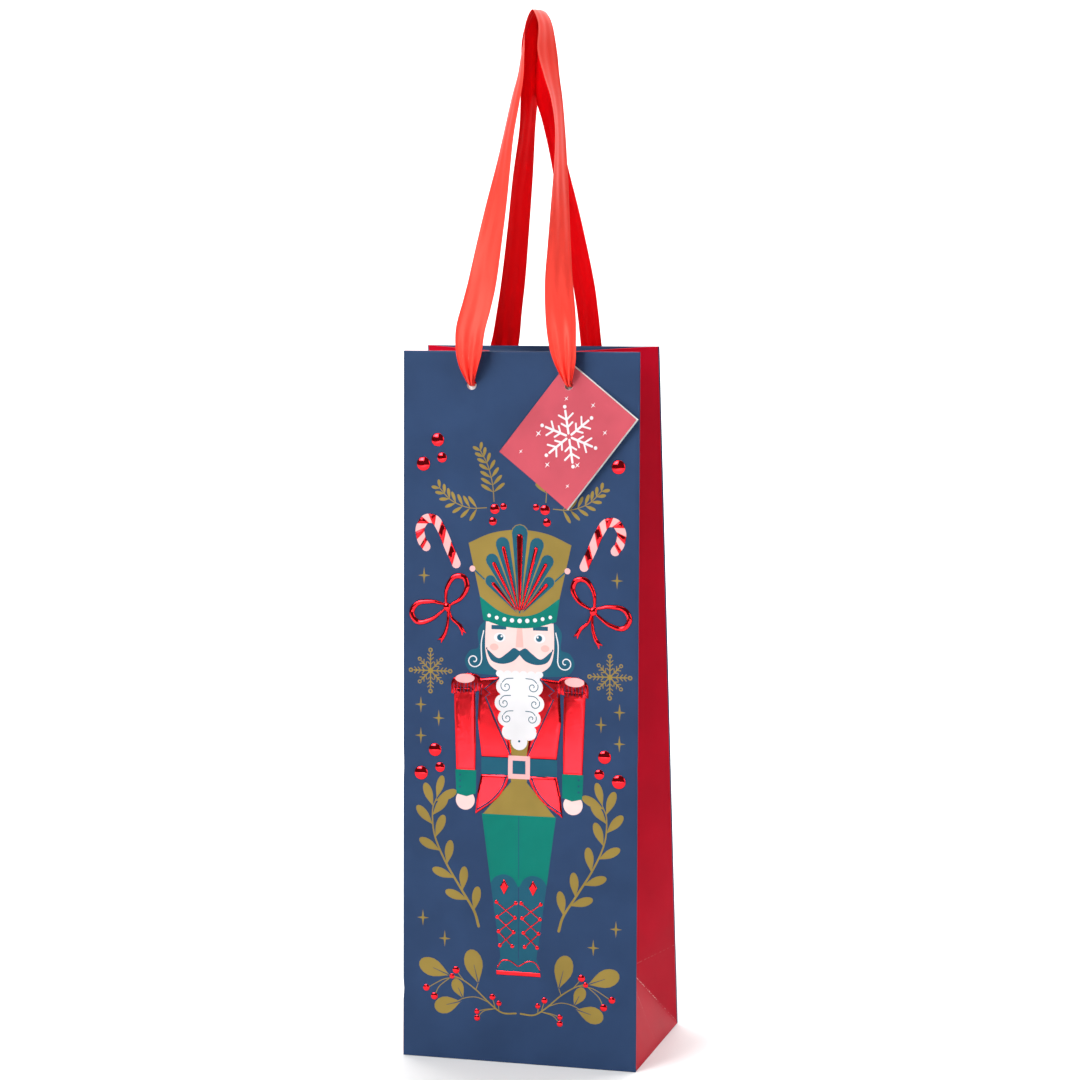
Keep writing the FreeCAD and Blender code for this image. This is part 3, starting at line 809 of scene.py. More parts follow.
def printed_sheet(name, art, columns, rows, place, base_ink, holes):
    """One sheet cut along every printed outline, so that each ink is a clean region of its mesh.

    columns and rows are flat grid lines in millimetres; place turns flat millimetres and a lift
    into points; holes are outlines cut right through.
    """
    outlines = [[(columns[0], rows[0]), (columns[-1], rows[0]),
                 (columns[-1], rows[-1]), (columns[0], rows[-1])]]
    inks, heights = [base_ink], [None]
    for hole in holes:
        outlines.append(hole)
        inks.append(None)
        heights.append(None)
    embossed = []
    for ink, outline, emboss in (art.regions if art else []):
        outline = outline if area(outline) > 0 else outline[::-1]
        outlines.append(outline)
        inks.append(ink)
        heights.append(emboss)
        if emboss:
            embossed.append((np.array(outline, float), emboss))
    loose = [(x, y) for x in columns for y in rows]
    for outline, (_, shoulder) in embossed:
        low, high = outline.min(0), outline.max(0)
        step = min(COARSE, max(FINEST, shoulder * 0.6))
        grid_x, grid_y = (np.arange(low[axis], high[axis], step) for axis in (0, 1))
        grid = np.array([(x, y) for x in grid_x for y in grid_y])
        if len(grid):
            distance, inside = edge_distance(grid, outline)
            sparse = np.arange(len(grid)) % 4 == 0
            keep = inside & (distance > MARGIN) & ((distance < shoulder * 1.2) | sparse)
            loose += [tuple(point) for point in grid[keep]]
    points, faces = [], []
    for outline in outlines:
        faces.append(list(range(len(points), len(points) + len(outline))))
        points += outline
    points += loose
    made = delaunay_2d_cdt([Vector(point) for point in points], [], faces, 1, 1e-4, True)
    flat = np.array([tuple(vertex) for vertex in made[0]], float)
    triangles, tops = [], []
    for corners_of, sources in zip(made[2], made[5]):
        if any(inks[source] is None for source in sources) or not sources:
            continue
        for index in range(1, len(corners_of) - 1):
            triangles.append((corners_of[0], corners_of[index], corners_of[index + 1]))
            tops.append(max(sources))
    triangles = np.array(triangles)
    raised = np.array([heights[top] is not None for top in tops])
    lift = np.zeros(len(flat))
    high = np.setdiff1d(triangles[raised], triangles[~raised])
    if len(high):
        lift[high] = emboss_height(flat[high], embossed)
    vertices = place(flat[:, 0], flat[:, 1], lift)
    mesh = bpy.data.meshes.new(name)
    mesh.from_pydata(vertices.tolist(), [], triangles.tolist())
    names = list(dict.fromkeys([base_ink] + [inks[top] for top in tops]))
    for ink in names:
        mesh.materials.append(FINISHES[ink])
    for polygon, top in zip(mesh.polygons, tops):
        polygon.material_index = names.index(inks[top])
        polygon.use_smooth = True
    layer = mesh.uv_layers.new(name="flat")
    layer.data.foreach_set("uv", (flat[triangles].reshape(-1, 2) * MM).astype(np.float32).ravel())
    PRINT_NORMALS[name] = print_normals(flat, triangles, raised, embossed, place)
    return finish_mesh(name, mesh)


def thicken_print(made, thickness, inner, rim):
    """Thickness for a printed sheet, whose printed side keeps its own exact normals."""
    normals = PRINT_NORMALS.pop(made.name)
    count = len(made.data.polygons)
    thicken(made, thickness)
    mesh = made.data
    for ink in (inner, rim):
        mesh.materials.append(FINISHES[ink])
    last = len(mesh.materials) - 1
    for polygon in mesh.polygons[count:]:
        polygon.material_index = last - 1 if polygon.index < 2 * count else last
    every = np.empty(len(mesh.loops) * 3, np.float32)
    mesh.corner_normals.foreach_get("vector", every)
    every = every.reshape(-1, 3)
    every[:len(normals)] = normals
    mesh.normals_split_custom_set([tuple(normal) for normal in every])
    return made


def unit(vectors):
    return vectors / np.maximum(np.linalg.norm(vectors, axis=-1), 1e-9)[..., None]


def finish_mesh(name, mesh):
    """Drop loose vertices, and put the mesh in the scene as an object at the origin."""
    work = bmesh.new()
    work.from_mesh(mesh)
    bmesh.ops.delete(work, geom=[v for v in work.verts if not v.link_faces], context="VERTS")
    work.to_mesh(mesh)
    work.free()
    return add_object(name, mesh)


def add_object(name, data):
    made = bpy.data.objects.new(name, data)
    bpy.context.scene.collection.objects.link(made)
    return made


def lay_flat(mesh, places):
    """Give each vertex its place on the flat sheet, in metres."""
    layer = mesh.uv_layers.new(name="flat")
    for loop in mesh.loops:
        layer.data[loop.index].uv = places[loop.vertex_index]


def grid_mesh(name, points, finish, flat=None):
    """A quad grid from rows of points; flat gives each vertex its place on the flat sheet."""
    rows, columns = len(points), len(points[0])
    vertices = [point for row in points for point in row]
    faces = []
    for row in range(rows - 1):
        for column in range(columns - 1):
            first = row * columns + column
            faces.append((first, first + 1, first + columns + 1, first + columns))
    mesh = bpy.data.meshes.new(name)
    mesh.from_pydata(vertices, [], faces)
    mesh.materials.append(FINISHES[finish])
    for polygon in mesh.polygons:
        polygon.use_smooth = True
    if flat:
        lay_flat(mesh, [place for row in flat for place in row])
    return finish_mesh(name, mesh)


def thicken(made, thickness, inner=None, rim=None):
    """Give a sheet its thickness, away from its outer face, and make the result a plain mesh."""
    solid = made.modifiers.new("Thickness", "SOLIDIFY")
    solid.thickness = thickness
    solid.offset = -1.0
    solid.use_even_offset = False
    for key, ink in (("material_offset", inner), ("material_offset_rim", rim)):
        if ink:
            made.data.materials.append(FINISHES[ink])
            setattr(solid, key, len(made.data.materials) - 1)
    solid.use_quality_normals = True
    flatten_modifiers(made)
    return made


def flatten_modifiers(made):
    graph = bpy.context.evaluated_depsgraph_get()
    mesh = bpy.data.meshes.new_from_object(made.evaluated_get(graph))
    made.modifiers.clear()
    old = made.data
    made.data = mesh
    mesh.name = made.name
    bpy.data.meshes.remove(old)
    return made


# ---- The folded paper shell -----------------------------------------------------------------------

CELLS = 25                                            # grid cells from a corner fold to the centre crease
# x, height up the sheet, reach and depth of each dent in the front panel, in millimetres
FRONT_DENTS = ((-60, 146, 9.0, 0.5), (60, 147, 7.0, 0.4), (-60, 33, 8.0, 0.4), (-55, 150, 6.0, 0.25))


class Shell:
    """The outer face of the folded sheet, in millimetres.

    side is LEFT or RIGHT and face is FRONT or BACK. across is the distance past the corner fold:
    negative on the panel and positive on the gusset, up to the other corner. up runs along the sheet
    from the bottom fold. All may be numpy arrays.
    """

    def __init__(self, settings):
        self.fold = settings.fold_radius / MM
        self.wave = settings.panel_wave / MM
        self.width = HALF_WIDTH / MM
        self.base = HALF_BASE / MM
        self.slant = SLANT / MM

    def corner_fold(self, side, face, up):
        """The fold between panel and gusset."""
        return np.stack([side * self.width + 0 * up, face * (self.base - up * math.sin(TILT)),
                         up * math.cos(TILT)], axis=-1)

    def centre_crease(self, side, up):
        """The gusset's middle, pressed inwards; each half of the gusset keeps its full width."""
        half_depth = self.base - up * math.sin(TILT)
        drop = half_depth * math.tan(TILT)
        inward = np.sqrt(np.maximum(self.base ** 2 - half_depth ** 2 - drop ** 2, 0))
        return np.stack([side * (self.width - inward), 0 * up, up * math.cos(TILT) - drop], axis=-1)

    def gusset(self, side, face, across, up):
        """A half gusset, with its diagonal crease between the corner and the foot of the centre crease."""
        share = (across / self.base)[..., None]
        high = np.maximum(up, self.base)
        upper = self.corner_fold(side, face, high) * (1 - share) + self.centre_crease(side, high) * share
        zero, at_base = np.zeros_like(up), np.full_like(up, self.base)
        corner = self.corner_fold(side, face, zero)
        middle = corner * np.array([1.0, 0.0, 1.0])
        edge = self.corner_fold(side, face, at_base)
        peak = self.centre_crease(side, at_base)
        rise = (up / self.base)[..., None]
        wall = corner + rise * (edge - corner) + share * (peak - edge)
        foot = corner + share * (middle - corner) + rise * (peak - middle)
        lower = np.where((up >= across)[..., None], wall, foot)
        return np.where((up >= self.base)[..., None], upper, lower)

    def corner_arc(self, side, face, up):
        """The corner fold as an arc: its centre, how far it turns, and where the gusset leaves it."""
        knee = self.corner_fold(side, face, up)
        out, inwards = np.array([side, 0.0, 0.0]), np.array([0.0, -face, 0.0])
        centre = knee + self.fold * (inwards - out)
        high = np.maximum(up, self.base)
        leaving = self.centre_crease(side, high) - self.corner_fold(side, face, high)
        heading = np.arctan2((leaving * inwards).sum(-1), (leaving * out).sum(-1))
        return centre, out, inwards, heading

    def skin(self, side, face, across, up):
        """Panel and gusset with rounded folds."""
        beyond = across > self.base
        point = np.empty(across.shape + (3,))
        for half, some in ((face, ~beyond), (-face, beyond)):
            if some.any():
                own = across[some] if half == face else 2 * self.base - across[some]
                point[some] = self.half_skin(side, half, own, up[some])
        radius = self.fold * 1.3
        near = np.abs(across - self.base) < radius
        if near.any():
            share = ((across[near] - self.base + radius) / (2 * radius))[..., None]
            reach, high = np.full(near.sum(), self.base - radius), up[near]
            start, end = (self.half_skin(side, half, reach, high) for half in (face, -face))
            knee = self.half_skin(side, face, np.full(near.sum(), self.base), high)
            point[near] = start * (1 - share) ** 2 + knee * 2 * share * (1 - share) + end * share ** 2
        return point

    def half_skin(self, side, face, across, up):
        """The panel, the arc of its corner fold, and the half gusset up to the centre crease."""
        centre, out, inwards, heading = self.corner_arc(side, face, up)
        turned = across / self.fold + 1
        angle = np.clip(turned, 0, heading)[..., None] - math.pi / 2
        arc = centre + self.fold * (np.cos(angle) * out + np.sin(angle) * inwards)
        last = self.fold * (heading - 1)
        leave = centre + self.fold * (np.cos(heading - math.pi / 2)[..., None] * out
                                      + np.sin(heading - math.pi / 2)[..., None] * inwards)
        fade = (1 - (across - last) / (self.base - last))[..., None]
        wall = self.gusset(side, face, np.maximum(across, 0), up) + fade * (
            leave - self.gusset(side, face, np.maximum(last, 0), up))
        panel = self.corner_fold(side, face, up) + across[..., None] * out
        return np.where((turned < 0)[..., None], panel, np.where((turned < heading)[..., None], arc, wall))

    def foot(self, side, face, across, up):
        """The skin, turned under at the bottom fold."""
        point = self.skin(side, face, across, np.maximum(up, 0))
        zero = np.zeros_like(across)
        knee = self.skin(side, face, across, zero)
        turn = np.clip((across + self.fold) / (2 * self.fold), 0, 1)[..., None]
        along_y = np.stack([zero, -face * np.ones_like(across), zero], axis=-1)
        along_x = np.stack([-side * np.ones_like(across), zero, zero], axis=-1)
        inwards = along_y * (1 - turn) + along_x * turn
        radius = self.fold
        share = np.clip((up + radius) / (2 * radius), 0, 1)[..., None]
        bend = ((knee + inwards * radius) * (1 - share) ** 2 + knee * 2 * share * (1 - share)
                + self.skin(side, face, across, np.full_like(up, radius)) * share ** 2)
        shrink = np.clip(np.abs(across - 0.3) / 2.5, 0.08, 1.0)[..., None]
        under = knee + inwards * (radius + (-up[..., None] - radius) * shrink)
        point = np.where((up < radius)[..., None], bend, point)
        return np.where((up < -radius)[..., None], under, point)

    def stack(self, across):
        """Half the thickness of the folded hem: full over the card and pinched at the corner folds."""
        # it grows over 4 mm on the panel and over 3.4 mm on the gusset, from just beyond each fold
        panel = np.clip((-across - 1.5) / 4.0, 0, 1)
        gusset = np.clip((across - 2.0) / 3.4, 0, 1) * np.clip((2 * self.base - 2.0 - across) / 3.4, 0, 1)
        pinched, doubled = PAPER * 0.6 / MM, PAPER * 1.15 / MM
        return pinched + panel * (STACK / 2 / MM - pinched) + gusset * (doubled - pinched)

    def gusset_stack(self):
        """The same on a gusset, clear of its folds."""
        return self.stack(np.array(8.0))

    def outside(self, side, face, across, up, lift=0.0):
        """The finished outer face, with the hem rolled over the mouth."""
        across, up, lift = np.broadcast_arrays(*(np.asarray(each, float) for each in (across, up, lift)))
        radius = self.stack(across)
        top = self.slant - radius
        flat_up = np.minimum(up, top)
        point, normal, climb = (np.empty(across.shape + (3,)) for _ in range(3))
        plane = (across < -2 * self.fold) & (up > 2 * self.fold)
        point[plane] = self.corner_fold(side, face, flat_up[plane])
        point[plane, 0] += side * across[plane]
        normal[plane] = (0, face * math.cos(TILT), math.sin(TILT))
        climb[plane] = (0, -face * math.sin(TILT), math.cos(TILT))
        bent = ~plane
        if bent.any():
            place, high, step = across[bent], flat_up[bent], 0.02
            point[bent] = self.foot(side, face, place, high)
            run = self.foot(side, face, place + step, high) - self.foot(side, face, place - step, high)
            rise = self.foot(side, face, place, high + step) - self.foot(side, face, place, high - step)
            normal[bent] = unit(np.cross(run, rise) * (-side * face))
            climb[bent] = unit(rise)
        lift = lift + self.waves(side, face, across, flat_up)
        angle = np.clip((up - top) / radius, 0, math.pi)
        reach = (radius + lift)[..., None]
        rolled = climb * reach * np.sin(angle)[..., None] + normal * (
            reach * np.cos(angle)[..., None] - radius[..., None])
        return (point + rolled) * MM

    def waves(self, side, face, across, up):
        """Slight buckling of the panels, dying out at the folds and under the stiff hem, and a few dents."""
        x = side * (self.width + across)
        calm = np.maximum(np.cos(math.pi * x / (2 * self.width)), 0.0) ** 0.7
        calm = np.where(across < 0, calm, 0.0) * np.clip(up / 40, 0, 1)
        calm = calm * np.clip((self.slant - 45 - up) / 60, 0, 1)
        swell = np.sin(up / 37 + x / 60 + face) + 0.6 * np.sin(up / 21 - x / 33 + 2.0)
        total = self.wave * calm * swell
        if face == FRONT:
            for dent_x, dent_up, reach, deep in FRONT_DENTS:
                total = total - deep * np.exp(-((x - dent_x) / reach) ** 2
                                              - ((up - dent_up - 0.25 * (x - dent_x)) / 2.4) ** 2)
        return total


def steps_between(low, high, size):
    count = max(1, round((high - low) / size))
    return [low + (high - low) * index / count for index in range(count + 1)]


def panel_points(shell, face, x, up, lift):
    """Points over a panel from world x and the height up the sheet, in millimetres."""
    x, up, lift = np.broadcast_arrays(*(np.asarray(each, float) for each in (x, up, lift)))
    points = np.empty(x.shape + (3,))
    for side in (LEFT, RIGHT):
        some = (x < 0) == (side == LEFT)
        if some.any():
            points[some] = shell.outside(side, face, np.abs(x[some]) - shell.width, up[some], lift[some])
    return points


def panel_piece(shell, face, art):
    """A front or back panel with its print, wrapped a little round the corner folds and the mouth."""
    wrap, under = 1.2, 1.3
    width = shell.width
    fold = shell.fold
    inner = steps_between(-width + 3, width - 3, 5.5)
    edge = [width - 1.5] + steps_between(width - fold, width + 0.93, 0.19) + [width + wrap]
    columns = [-x for x in edge[::-1]] + inner + edge
    hem = shell.slant - STACK / MM / 2
    roll = [hem + math.pi * STACK / MM / 2 * share for share in (0, 0.14, 0.28, 0.42, 0.56, 0.7, 0.85, 1.0)]
    rows = [-under, -fold, -fold / 2, 0, fold / 2, fold, 2.5] + steps_between(6, hem - 2, 5.5) + roll

    def place(x, up, lift):
        return panel_points(shell, face, np.asarray(x) * -face, up, lift)
    holes = [disc(side * HOLE_X / MM, HOLE_V / MM, HOLE_RADIUS / MM, count=32) for side in (1, -1)]
    name = f"{FACES[face]}_printed_panel"
    made = printed_sheet(name, art, columns, rows, place, "navy", holes)
    thicken_print(made, PAPER, "raw", "navy")
    return made


def gusset_grid(shell, side, rows, inset, margin, flip=False):
    """Points of a gusset and their flat places; inset is how far inside the outer face it lies."""
    cell = shell.base / CELLS
    halves = [margin] + [cell * k for k in range(1, CELLS) if cell * k > margin + 0.2]
    halves += [shell.base - shell.fold * 1.3, shell.base - shell.fold * 0.6, shell.base]
    halves = sorted(set(halves))
    across = halves + [2 * shell.base - a for a in halves[-2::-1]]
    grid_a, grid_up = np.meshgrid(across, rows)
    points = shell.outside(side, FRONT, grid_a, grid_up, -inset)
    flat = [[((a - shell.base) * MM, up * MM) for a in across] for up in rows]
    if (side == LEFT) != flip:
        points = points[:, ::-1]
        flat = [row[::-1] for row in flat]
    return [[tuple(point) for point in row] for row in points], flat


def gusset_piece(shell, side):
    """A side gusset with its creases, its colour meeting the panels' just past the corner folds."""
    cell = shell.base / CELLS
    radius = shell.gusset_stack()
    hem = shell.slant - radius
    rows = [-1.3, -shell.fold, -shell.fold / 2, 0, shell.fold / 2, shell.fold]
    rows += [cell * k for k in range(1, CELLS + 1)] + steps_between(shell.base + 3, hem, 6)
    rows += [hem + math.pi * radius * share for share in (0.2, 0.4, 0.6, 0.8, 1.0)]
    points, flat = gusset_grid(shell, side, rows, 0.0, 1.2)
    made = grid_mesh(f"{SIDES[side]}_creased_gusset", points, "gusset", flat)
    thicken(made, PAPER, "raw")
    return made


def gusset_hem(shell, side):
    """The red turnover inside a gusset."""
    depth = 2 * shell.gusset_stack()
    rows = steps_between(HEM_EDGE, shell.slant - depth / 2, 4)
    points, flat = gusset_grid(shell, side, rows, depth, 5.6, flip=True)
    made = grid_mesh(f"{SIDES[side]}_gusset_hem", points, "gusset_plain", flat)
    thicken(made, PAPER, "raw", "raw")
    return made


def panel_hem(shell, face):
    """The navy turnover inside a panel, down to its cut edge."""
    rows = steps_between(HEM_EDGE, shell.slant - STACK / MM / 2, 4)
    reach = TURNOVER_HIGH.x / MM
    xs = np.array(steps_between(-reach, reach, 5)) * face
    grid_x, grid_up = np.meshgrid(xs, rows)
    points = panel_points(shell, face, grid_x, grid_up, -STACK / MM)
    flat = [[(x * MM, up * MM) for x in xs] for up in rows]
    made = grid_mesh(f"{FACES[face]}_hem", points, "navy", flat)
    thicken(made, PAPER, "raw", "raw")
    return made


# ---- Foil domes, repeated with geometry nodes -------------------------------------------------

DOME_SEGMENTS, DOME_RINGS = 24, 12


def dome_tree():
    """Instances half an ellipsoid on each point, sized by the point's own radius."""
    tree = bpy.data.node_groups.new("foil_domes", "GeometryNodeTree")
    face = tree.interface
    face.new_socket("Geometry", in_out="OUTPUT", socket_type="NodeSocketGeometry")
    for label, kind in (("Geometry", "Geometry"), ("Relief", "Float"), ("Turn", "Vector"),
                        ("Segments", "Int"), ("Material", "Material")):
        face.new_socket(label, in_out="INPUT", socket_type=f"NodeSocket{kind}")

    def add(kind, **settings):
        node = tree.nodes.new(kind)
        for key, value in settings.items():
            setattr(node, key, value)
        return node
    entry, leave = add("NodeGroupInput"), add("NodeGroupOutput")
    ball = add("GeometryNodeMeshUVSphere")
    ball.inputs["Rings"].default_value = DOME_RINGS
    ball.inputs["Radius"].default_value = 1.0
    position = add("GeometryNodeInputPosition")
    split = add("ShaderNodeSeparateXYZ")
    below = add("FunctionNodeCompare", operation="LESS_THAN")
    below.inputs[1].default_value = -0.01
    trim = add("GeometryNodeDeleteGeometry", domain="POINT")
    size = add("GeometryNodeInputNamedAttribute", data_type="FLOAT")
    size.inputs["Name"].default_value = "radius"
    height = add("ShaderNodeMath", operation="MULTIPLY")
    scale = add("ShaderNodeCombineXYZ")
    spread = add("GeometryNodeInstanceOnPoints")
    solid = add("GeometryNodeRealizeInstances")
    smooth = add("GeometryNodeSetShadeSmooth")
    paint = add("GeometryNodeSetMaterial")
    for source, sink in (
            (entry.outputs["Segments"], ball.inputs["Segments"]), (position.outputs[0], split.inputs[0]),
            (split.outputs["Z"], below.inputs[0]), (ball.outputs["Mesh"], trim.inputs["Geometry"]),
            (below.outputs[0], trim.inputs["Selection"]), (size.outputs[0], height.inputs[0]),
            (entry.outputs["Relief"], height.inputs[1]), (size.outputs[0], scale.inputs["X"]),
            (size.outputs[0], scale.inputs["Y"]), (height.outputs[0], scale.inputs["Z"]),
            (entry.outputs["Geometry"], spread.inputs["Points"]),
            (trim.outputs[0], spread.inputs["Instance"]),
            (entry.outputs["Turn"], spread.inputs["Rotation"]), (scale.outputs[0], spread.inputs["Scale"]),
            (spread.outputs[0], solid.inputs[0]), (solid.outputs[0], smooth.inputs["Geometry"]),
            (smooth.outputs[0], paint.inputs["Geometry"]),
            (entry.outputs["Material"], paint.inputs["Material"]),
            (paint.outputs[0], leave.inputs[0])):
        tree.links.new(source, sink)
    return tree


def dome_piece(name, places, radii, turn, relief, material):
    """One mesh of foil domes from points and radii in metres."""
    mesh = bpy.data.meshes.new(name)
    mesh.from_pydata([tuple(place) for place in places], [], [])
    sizes = mesh.attributes.new("radius", "FLOAT", "POINT")
    for index, radius in enumerate(radii):
        sizes.data[index].value = radius
    made = add_object(name, mesh)
    modifier = made.modifiers.new("Domes", "NODES")
    modifier.node_group = bpy.data.node_groups.get("foil_domes") or dome_tree()
    sockets = {item.name: item.identifier for item in modifier.node_group.interface.items_tree
               if item.in_out == "INPUT"}
    modifier[sockets["Relief"]] = relief
    modifier[sockets["Turn"]] = (turn, 0.0, 0.0)
    modifier[sockets["Segments"]] = DOME_SEGMENTS
    modifier[sockets["Material"]] = material
    flatten_modifiers(made)
    return made


def berries_piece(shell, face, relief):
    """The raised foil berries and lace ends of one panel."""
    spots = [(side * x, up, radius) for x, up, radius in BERRIES + LACE_BERRIES for side in (-1, 1)]
    table = np.array(spots)
    places = panel_points(shell, face, table[:, 0], table[:, 1], 0.0)
    radii = [radius * MM for *_, radius in spots]
    turn = -face * (math.pi / 2 - TILT)
    return dome_piece(f"{FACES[face]}_foil_berries", places, radii, turn, relief, FINISHES["foil"])


# ---- Satin handles ----------------------------------------------------------------------------

# x, y, z in millimetres, turn of the outer face away from the panel in degrees, pleating
FRONT_ROUTE = [
    (-24.8, -14.2, 333.9, 0, 1.9), (-24.8, -18.6, 334.0, 0, 1.95), (-24.8, -21.2, 334.7, 0, 2.0),
    (-24.8, -22.6, 336.8, 0, 1.85), (-24.7, -24.0, 340.4, 0, 1.5), (-24.5, -25.2, 345.2, 0, 1.1),
    (-24.1, -25.4, 351.2, 0, 0.66), (-23.6, -23.8, 361.0, 0, 0.22), (-20.9, -21.4, 372.5, 3, 0.12),
    (-18.2, -19.6, 384.5, 8, 0.12), (-14.6, -17.8, 404.7, 22, 0.14), (-11.7, -16.3, 421.5, 33, 0.14),
    (-9.0, -14.9, 437.8, 45, 0.12), (-6.4, -13.4, 454.5, 54, 0.1), (-3.2, -12.0, 470.7, 57, 0.1),
    (-0.8, -11.0, 482.1, 62, 0.1), (0.8, -9.9, 494.5, 70, 0.1), (3.2, -9.0, 507.0, 82, 0.08),
    (7.8, -8.6, 513.6, 90, 0.06),
    (12.0, -9.0, 507.0, -80, 0.08), (13.0, -9.9, 494.2, -68, 0.1), (15.2, -11.0, 481.8, -76, 0.1),
    (17.8, -12.0, 470.4, -84, 0.1), (19.6, -13.3, 456.0, -87, 0.12), (20.2, -14.7, 439.9, -81, 0.14),
    (20.3, -16.3, 421.3, -71, 0.16), (20.3, -18.0, 401.0, -58, 0.16), (20.3, -19.6, 384.5, -42, 0.16),
    (21.4, -21.9, 369.0, -24, 0.2), (22.8, -24.8, 355.4, -8, 0.62), (24.0, -25.9, 347.4, 0, 1.0),
    (24.6, -25.3, 341.6, 0, 1.45), (24.8, -23.9, 337.4, 0, 1.8), (24.8, -22.0, 335.0, 0, 2.0),
    (24.8, -18.6, 334.0, 0, 1.95), (24.8, -14.2, 333.9, 0, 1.9),
]
BACK_ROUTE = [
    (-24.8, 14.2, 333.9, 0, 1.75), (-24.8, 18.6, 333.7, 0, 1.75), (-24.8, 21.0, 334.1, 0, 1.72),
    (-24.8, 22.0, 336.2, 0, 1.65), (-24.4, 22.0, 340.0, 4, 1.5), (-22.6, 21.7, 345.0, 16, 1.0),
    (-19.9, 21.2, 352.5, 38, 0.35), (-17.4, 19.9, 367.0, 50, 0.15), (-14.8, 18.6, 382.5, 54, 0.12),
    (-11.4, 16.6, 407.5, 60, 0.12), (-8.0, 14.6, 432.8, 65, 0.12), (-4.5, 12.8, 456.0, 75, 0.12),
    (-2.6, 11.6, 470.8, 72, 0.1), (-1.0, 10.7, 482.4, 68, 0.1), (-0.2, 9.6, 497.7, 66, 0.08),
    (3.2, 8.8, 511.8, 90, 0.06),
    (6.2, 9.4, 499.6, -40, 0.08), (5.2, 10.7, 482.2, -28, 0.1), (6.0, 11.6, 470.6, -34, 0.1),
    (7.8, 12.4, 460.9, -42, 0.1), (11.5, 14.0, 441.4, -44, 0.12), (16.8, 16.3, 412.0, -33, 0.14),
    (21.5, 18.6, 382.5, -29, 0.16), (23.2, 20.0, 366.0, -30, 0.2), (24.0, 21.1, 353.0, -26, 0.55),
    (24.5, 21.8, 345.0, -12, 1.1), (24.8, 22.0, 340.0, -4, 1.5), (24.8, 22.0, 336.2, 0, 1.65),
    (24.8, 21.0, 334.1, 0, 1.72), (24.8, 18.6, 333.7, 0, 1.75), (24.8, 14.2, 333.9, 0, 1.75),
]


RIBBON_FOOT = 20.0 * MM                               # a distance from the middle plane near a ribbon's foot; it sets only a start point that nothing uses


def smooth_rows(values, steps):
    """Rows of numbers interpolated with a cubic through each, as one array."""
    values = np.array(values, float)
    before = np.vstack([2 * values[0] - values[1], values[:-1]])
    after = np.vstack([values[1:], 2 * values[-1] - values[-2]])
    slope = (after - before) / 2
    share = np.arange(steps)[:, None] / steps
    square, cube = share ** 2, share ** 3
    made = []
    for index in range(len(values) - 1):
        start, end = values[index], values[index + 1]
        made.append((2 * cube - 3 * square + 1) * start + (cube - 2 * square + share) * slope[index]
                    + (3 * square - 2 * cube) * end + (cube - square) * slope[index + 1])
    return np.vstack(made + [values[-1:]])


def ribbon_piece(name, route, face, chosen):
    """One satin ribbon from knot to knot, and its length; pleats narrow it without losing cloth.

    The outer face looks away from the panel at the holes and up at the top of the loop.
    """
    width = chosen.ribbon_width / MM
    apex = max(range(len(route)), key=lambda index: route[index][2])
    rows = []
    for index, (x, y, z, turn, pleat) in enumerate(route):
        angle = math.radians(abs(turn))
        outward = -1 if index <= apex else 1
        normal = Vector((outward * math.sin(angle), face * math.cos(angle), 0.0))
        if index == apex:
            normal = Vector((0, 0, 1.0))
        if index in (0, 1, len(route) - 2, len(route) - 1):
            normal = Vector((0, 0, -1.0))
        rows.append((x, y, z, *normal, pleat))
    table = smooth_rows(rows, steps=7)
    centre, normal, pleat = table[:, :3], table[:, 3:6], table[:, 6]
    tangent = unit(np.gradient(centre, axis=0))
    normal = unit(normal - (normal * tangent).sum(1)[:, None] * tangent)
    across = np.cross(tangent, normal)
    cells = 40
    place = np.linspace(-0.5, 0.5, cells + 1)
    travel = np.concatenate([[0], np.cumsum(np.linalg.norm(np.diff(centre, axis=0), axis=1))])
    drift = 0.6 * np.sin(travel / 23.0 + face) + 0.5 * np.sin(travel / 9.0)
    bend = pleat[:, None] * np.sin(2 * math.pi * chosen.pleat_count * place[None] + drift[:, None])
    bend = bend + chosen.ribbon_cup * place[None] * 2 * np.sin(travel / 31.0 + 1.0 + face)[:, None]
    bend = bend - bend.mean(1)[:, None]

    def running(rate):
        """The sum of a rate over the ribbon's width, taken about its mean."""
        sums = np.cumsum((rate[:, 1:] + rate[:, :-1]) / 2, axis=1)
        total = np.concatenate([np.zeros((len(table), 1)), sums], axis=1) * (width / cells)
        return total - total.mean(1)[:, None]
    sideways, depth = running(np.cos(bend)), running(np.sin(bend))
    points = centre[:, None] + across[:, None] * sideways[..., None] + normal[:, None] * depth[..., None]
    flat = [[(share * width * MM, along * MM) for share in place] for along in travel]
    grid = [[tuple(point * MM) for point in row] for row in points]
    made = grid_mesh(name, grid, "satin", flat)
    # the ribbon's back takes the darker red, which is painted shade
    thicken(made, chosen.ribbon_thickness, "satin_back")
    return made, travel[-1] * MM


KNOT_X, KNOT_Y, KNOT_Z = 24.8, 14.4, 333.9             # middle of a knot, in millimetres


